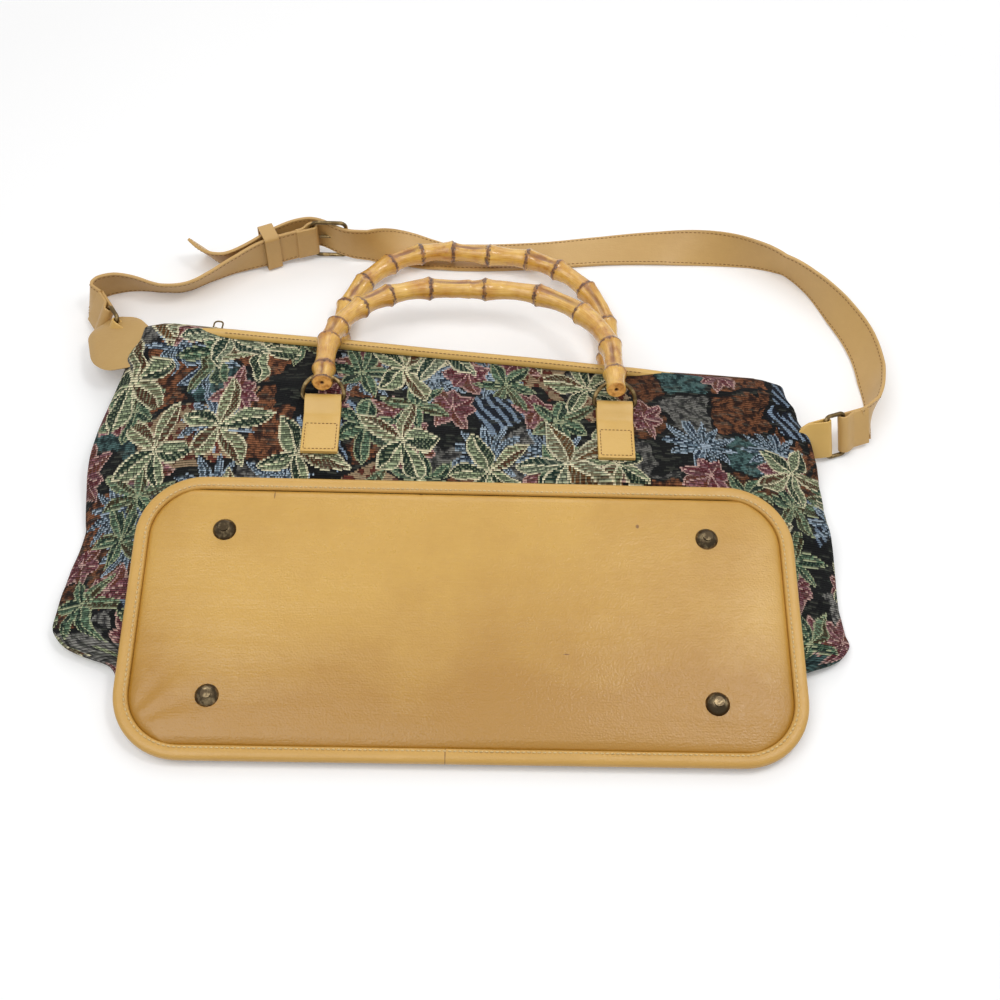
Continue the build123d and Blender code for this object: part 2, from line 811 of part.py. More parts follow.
keeper_ahead = Vector(cos(radians(keeper_turn)), sin(radians(keeper_turn)), 0)
keeper_plane = Plane(
    origin=(keeper_point[0], near_y + keeper_point[1], keeper_height), x_dir=(0, 0, 1), z_dir=keeper_ahead
)
with BuildPart() as strap_keeper:
    with BuildSketch(keeper_plane):
        RectangleRounded(
            strap_width + 2 * (keeper_gap + keeper_leather),
            2 * (keeper_half_width + keeper_leather),
            2 * keeper_leather,
        )
        RectangleRounded(
            strap_width + 2 * keeper_gap, 2 * keeper_half_width, keeper_leather, mode=Mode.SUBTRACT
        )
    extrude(amount=keeper_length / 2, both=True)
save(strap_keeper, "strap_keeper")
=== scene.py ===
"""Looks of a carpet bag lying on its back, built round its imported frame. Lengths are in metres."""

import logging
import math
from dataclasses import dataclass, field
from enum import Enum
from typing import Any, Callable, Iterable, Optional, Sequence, Union

import bmesh
import bpy
import numpy as np
from mathutils import Matrix, Vector, noise

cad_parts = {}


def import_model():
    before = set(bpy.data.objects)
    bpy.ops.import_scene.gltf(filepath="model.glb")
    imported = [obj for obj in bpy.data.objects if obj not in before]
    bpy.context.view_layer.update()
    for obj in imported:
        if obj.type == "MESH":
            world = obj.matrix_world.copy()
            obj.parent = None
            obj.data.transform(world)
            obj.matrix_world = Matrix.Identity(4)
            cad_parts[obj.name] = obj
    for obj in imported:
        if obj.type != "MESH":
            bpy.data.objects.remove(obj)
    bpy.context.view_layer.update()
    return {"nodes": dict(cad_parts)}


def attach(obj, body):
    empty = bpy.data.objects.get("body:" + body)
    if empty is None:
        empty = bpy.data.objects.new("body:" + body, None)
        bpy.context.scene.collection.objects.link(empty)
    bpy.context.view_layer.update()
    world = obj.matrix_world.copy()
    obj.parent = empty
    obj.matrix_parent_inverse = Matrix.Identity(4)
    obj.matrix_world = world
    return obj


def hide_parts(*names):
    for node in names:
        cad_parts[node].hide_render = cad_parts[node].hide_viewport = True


LOG = logging.getLogger("carpet_bag")
BAG = "bag"
MM = 0.001
Colour = tuple[float, float, float]
Number = Union[int, float]


def linear(red: float, green: float, blue: float) -> tuple[float, float, float, float]:
    """Turn a colour of 0 to 255 per channel into the linear values that a shader takes.

    Args:
        red: Red of the colour as seen.
        green: Green of the colour as seen.
        blue: Blue of the colour as seen.

    Returns:
        Linear red, green and blue, with an alpha of 1.
    """
    parts = [c / 255.0 for c in (red, green, blue)]
    made = [c / 12.92 if c <= 0.04045 else ((c + 0.055) / 1.055) ** 2.4 for c in parts]
    return (made[0], made[1], made[2], 1.0)


class Val:
    """A number socket whose Python operators add Math nodes."""

    def __init__(self, graph: "Graph", socket: bpy.types.NodeSocket) -> None:
        """Hold the socket and the graph that it is in."""
        self.graph = graph
        self.socket = socket

    def math(self, operation: str, *others: Union["Val", Number]) -> "Val":
        """Add one Math node.

        Args:
            operation: Name of the Math node's operation.
            others: Further inputs, sockets or numbers.

        Returns:
            The node's result.
        """
        inputs = {index: value for index, value in enumerate((self, *others))}
        return Val(self.graph, self.graph.node("ShaderNodeMath", {"operation": operation}, inputs).outputs[0])

    def __add__(self, other: Union["Val", Number]) -> "Val":
        """Sum."""
        return self.math("ADD", other)

    __radd__ = __add__

    def __mul__(self, other: Union["Val", Number]) -> "Val":
        """Product."""
        return self.math("MULTIPLY", other)

    __rmul__ = __mul__

    def __sub__(self, other: Union["Val", Number]) -> "Val":
        """Difference."""
        return self.math("SUBTRACT", other)

    def __rsub__(self, other: Number) -> "Val":
        """Difference from a number."""
        return self.math("MULTIPLY", -1.0).math("ADD", other)

    def __truediv__(self, other: Union["Val", Number]) -> "Val":
        """Quotient."""
        return self.math("DIVIDE", other)

    def __pow__(self, other: Union["Val", Number]) -> "Val":
        """Power."""
        return self.math("POWER", other)

    def __abs__(self) -> "Val":
        """Size without sign."""
        return self.math("ABSOLUTE")

    def above(self, limit: Union["Val", Number]) -> "Val":
        """1 where the value is over a limit, else 0."""
        return self.math("GREATER_THAN", limit)

    def below(self, limit: Union["Val", Number]) -> "Val":
        """1 where the value is under a limit, else 0."""
        return self.math("LESS_THAN", limit)

    def smooth(self, low: float, high: float) -> "Val":
        """Rise smoothly from 0 at low to 1 at high.

        Args:
            low: Value that gives 0.
            high: Value that gives 1.

        Returns:
            The smooth step.
        """
        settings = {"interpolation_type": "SMOOTHSTEP"}
        inputs = {"Value": self, "From Min": low, "From Max": high}
        return Val(self.graph, self.graph.node("ShaderNodeMapRange", settings, inputs).outputs["Result"])


class Graph:
    """Node tree of one material, with one method that adds any node."""

    def __init__(self, name: str) -> None:
        """Start a material that has only its surface shader."""
        self.material = bpy.data.materials.new(name)
        self.material.use_nodes = True
        self.tree = self.material.node_tree
        self.surface = self.tree.nodes["Principled BSDF"]

    def node(self, kind: str, settings: dict[str, Any], inputs: dict[Any, Any]) -> bpy.types.Node:
        """Add a node.

        Args:
            kind: Type name of the node.
            settings: The node's own settings, set first.
            inputs: Values, sockets or Val links of its inputs.

        Returns:
            The new node.
        """
        made = self.tree.nodes.new(kind)
        for key, value in settings.items():
            setattr(made, key, value)
        for key, value in inputs.items():
            self.feed(made.inputs[key], value)
        return made

    def feed(self, target: bpy.types.NodeSocket, value: Any) -> None:
        """Set an input, or link it where the value is a socket."""
        source = value.socket if isinstance(value, Val) else value
        if isinstance(source, bpy.types.NodeSocket):
            self.tree.links.new(source, target)
        else:
            target.default_value = source

    def val(self, kind: str, settings: dict[str, Any], inputs: dict[Any, Any], out: Any = 0) -> Val:
        """Add a node and wrap one of its outputs as a number."""
        return Val(self, self.node(kind, settings, inputs).outputs[out])

    def spot(self, uv: bool = False) -> bpy.types.NodeSocket:
        """Coordinates on the piece: its own UV map, or its place in the frame."""
        return self.node("ShaderNodeTexCoord", {}, {}).outputs["UV" if uv else "Object"]

    def parts(self, vector: bpy.types.NodeSocket) -> tuple[Val, Val, Val]:
        """Split a vector into numbers."""
        made = self.node("ShaderNodeSeparateXYZ", {}, {"Vector": vector})
        return Val(self, made.outputs[0]), Val(self, made.outputs[1]), Val(self, made.outputs[2])

    def vector(self, x: Any, y: Any, z: Any = 0.0) -> bpy.types.NodeSocket:
        """Join numbers into a vector."""
        return self.node("ShaderNodeCombineXYZ", {}, {0: x, 1: y, 2: z}).outputs[0]

    def stretched(self, vector: bpy.types.NodeSocket, scale: Sequence[float]) -> bpy.types.NodeSocket:
        """Scale a vector along its axes."""
        return self.node("ShaderNodeMapping", {}, {"Vector": vector, "Scale": scale}).outputs[0]

    def noise(self, vector: bpy.types.NodeSocket, scale: float, detail: float = 2.0, rough: float = 0.5) -> Val:
        """Cloudy noise from 0 to 1.

        Args:
            vector: Where on the piece.
            scale: Waves in a unit of the vector.
            detail: Finer layers.
            rough: Strength of the finer layers.

        Returns:
            The noise.
        """
        inputs = {"Vector": vector, "Scale": scale, "Detail": detail, "Roughness": rough}
        return self.val("ShaderNodeTexNoise", {}, inputs, "Fac")

    def mix(self, share: Any, low: Any, high: Any) -> bpy.types.NodeSocket:
        """Blend two colours."""
        made = self.node("ShaderNodeMix", {"data_type": "RGBA"}, {0: share, 6: low, 7: high})
        return made.outputs[2]

    def dimmed(self, colour: Any, level: Any) -> bpy.types.NodeSocket:
        """Multiply a colour by a number."""
        made = self.node("ShaderNodeVectorMath", {"operation": "SCALE"}, {0: colour, "Scale": level})
        return made.outputs[0]

    def bump(self, height: Val, strength: float, depth: float) -> None:
        """Lead a height to the surface's normal."""
        made = self.node("ShaderNodeBump", {}, {"Height": height, "Strength": strength, "Distance": depth})
        self.tree.links.new(made.outputs[0], self.surface.inputs["Normal"])

    def finish(self, **inputs: Any) -> bpy.types.Material:
        """Feed the surface shader, with underscores in the names for spaces."""
        for key, value in inputs.items():
            self.feed(self.surface.inputs[key.replace("_", " ")], value)
        return self.material


@dataclass(frozen=True)
class Leather:
    """Leather-look sheet with a fine pebble grain and a soft sheen."""

    name: str
    colour: Colour
    deep: Colour
    gloss: float = 0.40
    grain: float = 1.0
    creases: float = 0.0
    # Strength of the painted shade that darkens the colour towards the near edge.
    near_edge_painted_shade: float = 0.0
    marks: tuple[tuple[float, float, float, float], ...] = ()
    mark_colour: Colour = (112, 72, 34)

    def material(self) -> bpy.types.Material:
        """Make the material.

        Returns:
            The leather.
        """
        g = Graph(self.name)
        spot = g.spot()
        x, y, _ = g.parts(spot)
        cloud = g.noise(spot, 9.0, 3.0, 0.55).smooth(0.25, 0.8)
        fine = g.noise(spot, 160.0, 2.0)
        line = g.noise(g.stretched(spot, (90.0, 900.0, 900.0)), 1.0, 2.0, 0.6)
        # Painted shade: the colour darkens towards the near edge of the base (low y), by the strength above.
        shade = y.smooth(-0.04, -0.165) * self.near_edge_painted_shade
        colour = g.mix(cloud * 0.5 + fine * 0.2 + line * 0.18 + shade, linear(*self.colour), linear(*self.deep))
        for mark_x, mark_y, half_x, half_y in self.marks:
            across = (x - mark_x) / half_x
            along = (y - mark_y) / half_y
            near = (across * across + along * along + fine * 0.8).smooth(1.3, 0.5)
            colour = g.mix(near * 0.85, colour, linear(*self.mark_colour))
        pebble = g.val("ShaderNodeTexVoronoi", {"feature": "SMOOTH_F1"}, {"Vector": spot, "Scale": 780.0}, 0)
        crease = g.noise(g.stretched(spot, (10.0, 120.0, 120.0)), 1.0, 3.0, 0.6)
        height = pebble * (0.6 * self.grain) + fine * 0.3 + line * (0.5 * self.grain) + crease * self.creases
        g.bump(height, 0.4, 0.0007)
        rough = cloud * 0.10 + fine * 0.12 + (self.gloss - 0.08)
        return g.finish(Base_Color=colour, Roughness=rough, Specular_IOR_Level=0.5)


@dataclass(frozen=True)
class AgedBrass:
    """Dark antique metal, a little brighter where it is worn."""

    name: str = "antique_brass"
    dark: Colour = (92, 76, 50)
    worn: Colour = (186, 160, 112)
    rough: float = 0.30

    def material(self) -> bpy.types.Material:
        """Make the material.

        Returns:
            The metal.
        """
        g = Graph(self.name)
        spot = g.spot()
        wear = g.noise(spot, 140.0, 3.0, 0.6).smooth(0.45, 0.75)
        scratch = g.noise(g.stretched(spot, (300.0, 60.0, 300.0)), 1.0, 2.0)
        colour = g.mix(wear, linear(*self.dark), linear(*self.worn))
        g.bump(scratch, 0.15, 0.0003)
        return g.finish(Base_Color=colour, Metallic=1.0, Roughness=wear * -0.1 + scratch * 0.15 + self.rough)


@dataclass(frozen=True)
class PlainThread:
    """Twisted sewing thread."""

    name: str
    colour: Colour

    def material(self) -> bpy.types.Material:
        """Make the material.

        Returns:
            The thread.
        """
        g = Graph(self.name)
        twist = g.noise(g.spot(), 900.0, 1.0)
        colour = g.mix(twist, linear(*self.colour), linear(*[c * 0.72 for c in self.colour]))
        return g.finish(Base_Color=colour, Roughness=0.75)


@dataclass(frozen=True)
class ZipCloth:
    """Woven tape of a zip."""

    name: str = "tape_weave"
    colour: Colour = (120, 96, 62)

    def material(self) -> bpy.types.Material:
        """Make the material.

        Returns:
            The tape cloth.
        """
        g = Graph(self.name)
        x, y, z = g.parts(g.spot())
        rib = (z * 4200.0).math("SINE") * 0.5 + 0.5
        colour = g.mix(rib, linear(*self.colour), linear(*[c * 0.7 for c in self.colour]))
        g.bump(rib + g.noise(g.spot(), 700.0) * 0.5, 0.4, 0.0004)
        return g.finish(Base_Color=colour, Roughness=0.85)


@dataclass(frozen=True)
class Bamboo:
    """Lacquered bamboo: golden, with brown lines at the knots and scorched patches."""

    name: str = "lacquered_bamboo"
    gold: Colour = (190, 126, 34)
    pale: Colour = (240, 196, 98)
    brown: Colour = (100, 56, 18)
    scorch: Colour = (164, 98, 28)
    deep: Colour = (62, 34, 14)
    end: Colour = (240, 180, 96)

    def material(self) -> bpy.types.Material:
        """Make the material; it reads the piece's attributes and its UV map.

        Returns:
            The bamboo.
        """
        g = Graph(self.name)
        along, round_, _ = g.parts(g.spot(uv=True))
        knot, groove, cut, hollow_painted_shade = (
            g.val("ShaderNodeAttribute", {"attribute_name": name}, {}, "Fac") for name in ("knot", "groove", "cut", "hollow_painted_shade")
        )
        spot = g.spot()
        fibre = g.noise(g.vector(along * 30.0, round_ * 60.0, 0.0), 1.0, 3.0, 0.6)
        cloud = g.noise(spot, 46.0, 3.0, 0.6)
        # Scorched patches from noise, with more at the knots; the share added in the grooves is painted shade.
        scorch_and_groove_shade = (g.noise(spot, 75.0, 4.0, 0.65) + knot * 0.16 + groove * 0.22).smooth(0.50, 0.74)
        colour = g.mix((fibre * 0.5 + cloud * 0.6).smooth(0.3, 0.8), linear(*self.pale), linear(*self.gold))
        colour = g.mix(scorch_and_groove_shade * 0.8, colour, linear(*self.scorch))
        pit_in = {"Vector": spot, "Scale": 400.0}
        pits = g.val("ShaderNodeTexVoronoi", {}, pit_in, 0).smooth(0.5, 0.25) * knot.smooth(0.15, 0.6)
        line = (knot * 0.8 + g.noise(spot, 230.0) * 0.9).smooth(0.92, 1.32)
        colour = g.mix(line * 0.95, colour, linear(*self.brown))
        colour = g.mix(pits * 0.8, colour, linear(*self.deep))
        # Painted shade: the bud grooves are darkened to brown.
        colour = g.mix(groove * 0.75, colour, linear(*self.brown))
        # The painted shade of the hollow also darkens the end face's rings towards the middle.
        ring = (g.noise(spot, 260.0, 3.0) + hollow_painted_shade * 0.3).smooth(0.35, 0.75)
        face = g.mix(ring, linear(*self.end), linear(*self.scorch))
        colour = g.mix(cut, colour, face)
        # Painted shade: the middle of each cut end is nearly black, standing in for the shade inside the hollow cane.
        colour = g.mix(hollow_painted_shade, colour, linear(*self.deep))
        g.bump(fibre * 0.35 + cloud * 0.5 - line * 0.5 - pits * 0.9, 0.45, 0.0009)
        rough = scorch_and_groove_shade * 0.12 + cut * 0.35 + fibre * 0.10 + 0.2
        return g.finish(Base_Color=colour, Roughness=rough, Coat_Weight=0.4, Coat_Roughness=0.12)


@dataclass(frozen=True)
class Rosette:
    """One kind of plant in the weave: leaves or petals round a middle."""

    cell: float
    leaves: int
    reach: float
    width: float
    seed: float
    share: float
    line: float
    colours: tuple[Colour, Colour, Colour]
    outline: Colour
    veins: float = 1.0


@dataclass(frozen=True)
class Tapestry:
    """Dark jacquard cloth with leaves, flowers and mottled patches, woven in ribs."""

    name: str = "woven_tapestry"
    thread: float = 0.0010
    pick: float = 0.0016
    ground: Colour = (11, 12, 13)
    fleck: Colour = (84, 86, 76)
    plants: tuple[Rosette, ...] = (
        Rosette(0.052, 11, 0.58, 0.058, 5.1, 0.40, 0.008, ((24, 36, 46), (112, 132, 146), (30, 42, 58)), (164, 180, 194)),
        Rosette(0.046, 7, 0.46, 0.110, 9.7, 0.44, 0.015, ((92, 40, 44), (142, 98, 106), (98, 54, 40)), (196, 160, 150), 1.6),
        Rosette(0.054, 6, 0.56, 0.095, 3.3, 0.56, 0.010, ((22, 42, 34), (118, 146, 116), (62, 52, 32)), (168, 174, 138)),
        Rosette(0.066, 5, 0.56, 0.105, 2.3, 0.56, 0.010, ((26, 44, 34), (176, 188, 148), (82, 54, 36)), (228, 220, 184)),
        Rosette(0.084, 5, 0.50, 0.105, 7.9, 0.46, 0.009, ((26, 50, 42), (182, 190, 158), (98, 66, 36)), (230, 222, 188)),
    )

    def plant(self, g: Graph, u: Val, v: Val, kind: Rosette, under: Any) -> bpy.types.NodeSocket:
        """Weave one kind of plant over what lies under it.

        Args:
            g: Graph of the material.
            u: Place across the cloth.
            v: Place along the cloth.
            kind: Sizes and colours of the plant.
            under: Colour so far.

        Returns:
            Colour with the plant.
        """
        a = u / kind.cell + kind.seed
        b = v / kind.cell + kind.seed * 1.7
        settings = {"voronoi_dimensions": "2D"}
        cell = g.node("ShaderNodeTexVoronoi", settings, {"Vector": g.vector(a, b), "Scale": 1.0, "Randomness": 0.62})
        red, green, blue = g.parts(cell.outputs["Color"])
        mid_a, mid_b, _ = g.parts(cell.outputs["Position"])
        da = a - mid_a
        db = b - mid_b
        far = (da * da + db * db).math("SQRT")
        sector = 2.0 * math.pi / kind.leaves
        turn = db.math("ARCTAN2", da) + red * 6.283 + 10.0 * math.pi
        leaf = (turn / sector).math("FLOOR")
        lean = turn - leaf * sector - sector / 2.0
        out = far * lean.math("COSINE")
        side = far * lean.math("SINE")
        pick = g.val("ShaderNodeTexWhiteNoise", {"noise_dimensions": "2D"}, {"Vector": g.vector(leaf, green * 90.0)})
        reach = pick * (kind.reach * 0.28) + kind.reach * 0.78
        share = out / reach
        width = share * (1.0 - share) * (4.0 * kind.width)
        inner = width - abs(side)
        here = blue.below(kind.share)
        body = inner.above(0.0) * share.above(0.0) * here
        rim = abs(inner).below(kind.line) * share.above(0.03) * share.below(1.06) * here
        rib = abs(side).below(0.008) * share.above(0.02) * share.below(0.9)
        sweep = ((out - abs(side) * 0.9) * 19.0 * kind.veins).math("FRACT").below(0.3)
        hatch = (v * 312.5).math("FRACT").below(0.5)
        half = side.above(0.0)
        dark = g.mix(pick.above(0.62), linear(*kind.colours[0]), linear(*kind.colours[2]))
        fill = g.mix(half * (hatch * 0.6 + 0.3), dark, linear(*kind.colours[1]))
        fill = g.mix((1.0 - half) * sweep * 0.55, fill, linear(*[c * 0.88 for c in kind.colours[1]]))
        fill = g.mix(half * sweep * 0.6, fill, g.dimmed(dark, 0.5))
        fill = g.mix(rib, fill, linear(*kind.outline))
        colour = g.mix(body, under, fill)
        return g.mix(rim * 0.9, colour, linear(*kind.outline))

    def patches(self, g: Graph, u: Val, v: Val) -> bpy.types.NodeSocket:
        """Ground of the weave: dark cloth with mottled, barred and flecked patches.

        Args:
            g: Graph of the material.
            u: Place across the cloth.
            v: Place along the cloth.

        Returns:
            Colour of the ground.
        """
        spot = g.vector(u, v)
        bend = g.noise(spot, 34.0, 2.0)
        warped = g.vector(u * 25.0 + bend * 1.4, v * 25.0 + bend * 1.1)
        settings = {"voronoi_dimensions": "2D"}
        cell = g.node("ShaderNodeTexVoronoi", settings, {"Vector": warped, "Scale": 1.0})
        kind, tone, skew = g.parts(cell.outputs["Color"])
        fleck = g.noise(spot, 210.0, 2.0, 0.6)
        base = g.mix(fleck.smooth(0.52, 0.72), linear(*self.ground), linear(40, 46, 40))
        brown = g.mix(fleck.smooth(0.40, 0.60), linear(46, 28, 22), linear(132, 84, 56))
        grey = g.mix(fleck.smooth(0.40, 0.60), linear(50, 50, 50), linear(140, 138, 132))
        teal = g.mix(fleck.smooth(0.40, 0.60), linear(20, 38, 40), linear(82, 112, 110))
        bars = ((u * 0.8 + v * 0.6 + bend * 0.012) * 900.0 + skew * 6.0).math("SINE").above(0.2)
        barred = g.mix(bars, linear(22, 28, 40), linear(140, 160, 182))
        dots_in = {"Vector": g.vector(u * 150.0, v * 150.0), "Scale": 1.0}
        dots = g.val("ShaderNodeTexVoronoi", settings, dots_in, 0).below(0.34)
        dotted = g.mix(dots, linear(176, 150, 118), linear(104, 52, 40))
        colour = g.mix(kind.above(0.20), base, brown)
        colour = g.mix(kind.above(0.46), colour, grey)
        colour = g.mix(kind.above(0.57), colour, teal)
        colour = g.mix(kind.above(0.73), colour, barred)
        colour = g.mix(kind.above(0.89), colour, dotted)
        edge_in = {"Vector": warped, "Scale": 1.0}
        edge = g.val("ShaderNodeTexVoronoi", {**settings, "feature": "DISTANCE_TO_EDGE"}, edge_in, 0)
        return g.mix(edge.above(0.055), linear(*self.ground), g.dimmed(colour, tone * 0.5 + 0.6))

    def material(self) -> bpy.types.Material:
        """Make the material; it reads the piece's UV map, which is the flat cloth in metres.

        Returns:
            The tapestry.
        """
        g = Graph(self.name)
        u, v, _ = g.parts(g.spot(uv=True))
        row = v / self.pick
        stitch_u = ((u / self.thread).math("FLOOR") + 0.5) * self.thread
        stitch_v = (row.math("FLOOR") + 0.5) * self.pick
        colour = self.patches(g, stitch_u, stitch_v)
        spot = g.vector(stitch_u, stitch_v)
        bent_u = stitch_u + (g.noise(spot, 26.0, 1.0) - 0.5) * 0.020
        bent_v = stitch_v + (g.noise(g.vector(stitch_v, stitch_u), 26.0, 1.0) - 0.5) * 0.020
        for kind in self.plants:
            colour = self.plant(g, bent_u, bent_v, kind, colour)
        rib = (row * 6.2832).math("SINE") * 0.5 + 0.5
        jitter = g.val(
            "ShaderNodeTexWhiteNoise",
            {"noise_dimensions": "2D"},
            {"Vector": g.vector(stitch_u * 900.0, stitch_v * 900.0)},
        )
        strand = g.vector((u / 0.0065 + row.math("FLOOR") * 0.37).math("FLOOR"), row.math("FLOOR"))
        dash = g.val("ShaderNodeTexWhiteNoise", {"noise_dimensions": "2D"}, {"Vector": strand})
        colour = g.mix(dash.above(0.84) * 0.3, colour, linear(*self.fleck))
        colour = g.dimmed(colour, rib * 0.84 + jitter * 0.36 + dash * 0.32 + 0.02)
        wrinkle = g.noise(g.spot(uv=True), 17.0, 3.0, 0.5)
        g.bump(rib + jitter * 0.5 + wrinkle * 7.0, 0.6, 0.0007)
        return g.finish(Base_Color=colour, Roughness=jitter * 0.1 + 0.82, Specular_IOR_Level=0.2)


class Finish(Enum):
    """The finishes of the bag."""

    TAPESTRY = Tapestry()
    # In BASE and WELT the number just before the marks is the strength of the painted shade towards the near edge.
    BASE = Leather(
        "panel_hide", (214, 171, 86), (174, 127, 48), 0.29, 1.1, 0.9, 0.9,
        ((-0.033, 0.0299, 0.0022, 0.0009), (0.1196, 0.0071, 0.0016, 0.0020), (-0.1357, 0.0264, 0.0006, 0.0042), (0.068, -0.0876, 0.0030, 0.0005)),
    )
    WELT = Leather(
        "welt_hide", (212, 168, 88), (188, 143, 66), 0.34, 0.8, 0.2, 0.2, ((-0.0115, -0.1560, 0.0005, 0.0085),)
    )
    STRAP = Leather("strap_hide", (206, 167, 102), (178, 139, 80), 0.42, 0.5, 0.1)
    TAB = Leather("tab_hide", (218, 178, 98), (198, 156, 80), 0.34, 0.5, 0.1)
    PATCH = Leather("patch_hide", (196, 160, 98), (176, 138, 78), 0.38, 0.6, 0.1)
    BRASS = AgedBrass()
    FOOT = AgedBrass("foot_bronze", (64, 54, 40), (150, 132, 100), 0.22)
    THREAD = PlainThread("pale_thread", (240, 208, 146))
    DARK_THREAD = PlainThread("dark_thread", (150, 106, 52))
    TAPE = ZipCloth()
    BAMBOO = Bamboo()

    def dress(self, *pieces: bpy.types.Object) -> None:
        """Give the finish to pieces.

        Args:
            pieces: Objects that take the finish.
        """
        name = self.value.name
        material = bpy.data.materials.get(name) or self.value.material()
        for piece in pieces:
            piece.data.materials.clear()
            piece.data.materials.append(material)


class Slot(str, Enum):
    """Material slots of the record."""

    TAPESTRY = "tapestry"
    BASE = "base_leather"
    WELT = "binding_leather"
    STRAP = "strap_leather"
    BAMBOO = "bamboo"
    METAL = "dark_metal"
    TAPE = "zip_cloth"


@dataclass(frozen=True)
class Seat:
    """A place with three directions."""

    origin: Vector
    x: Vector
    y: Vector
    z: Vector

    @staticmethod
    def of(origin: Iterable[float], x: Iterable[float], z: Iterable[float]) -> "Seat":
        """Make a seat from its origin, its X and its Z."""
        across, up = Vector(x).normalized(), Vector(z).normalized()
        return Seat(Vector(origin), across, up.cross(across), up)

    def at(self, a: float, b: float, c: float) -> Vector:
        """Point at distances along the three directions."""
        return self.origin + self.x * a + self.y * b + self.z * c

    def moved(self, a: float, b: float, c: float) -> "Seat":
        """The same seat with its origin moved along its own directions."""
        return Seat(self.at(a, b, c), self.x, self.y, self.z)


SKEW = math.radians(5.3)
TILT = math.radians(8.5)
NEAR_Y = -0.1605
ZIP = Seat.of((0, 0.1605, 0), (math.cos(SKEW), -math.sin(SKEW), 0), (0, 0, 1))
BASE = Seat.of((0, NEAR_Y, 0.009), (1, 0, 0), (0, -math.sin(TILT), math.cos(TILT)))


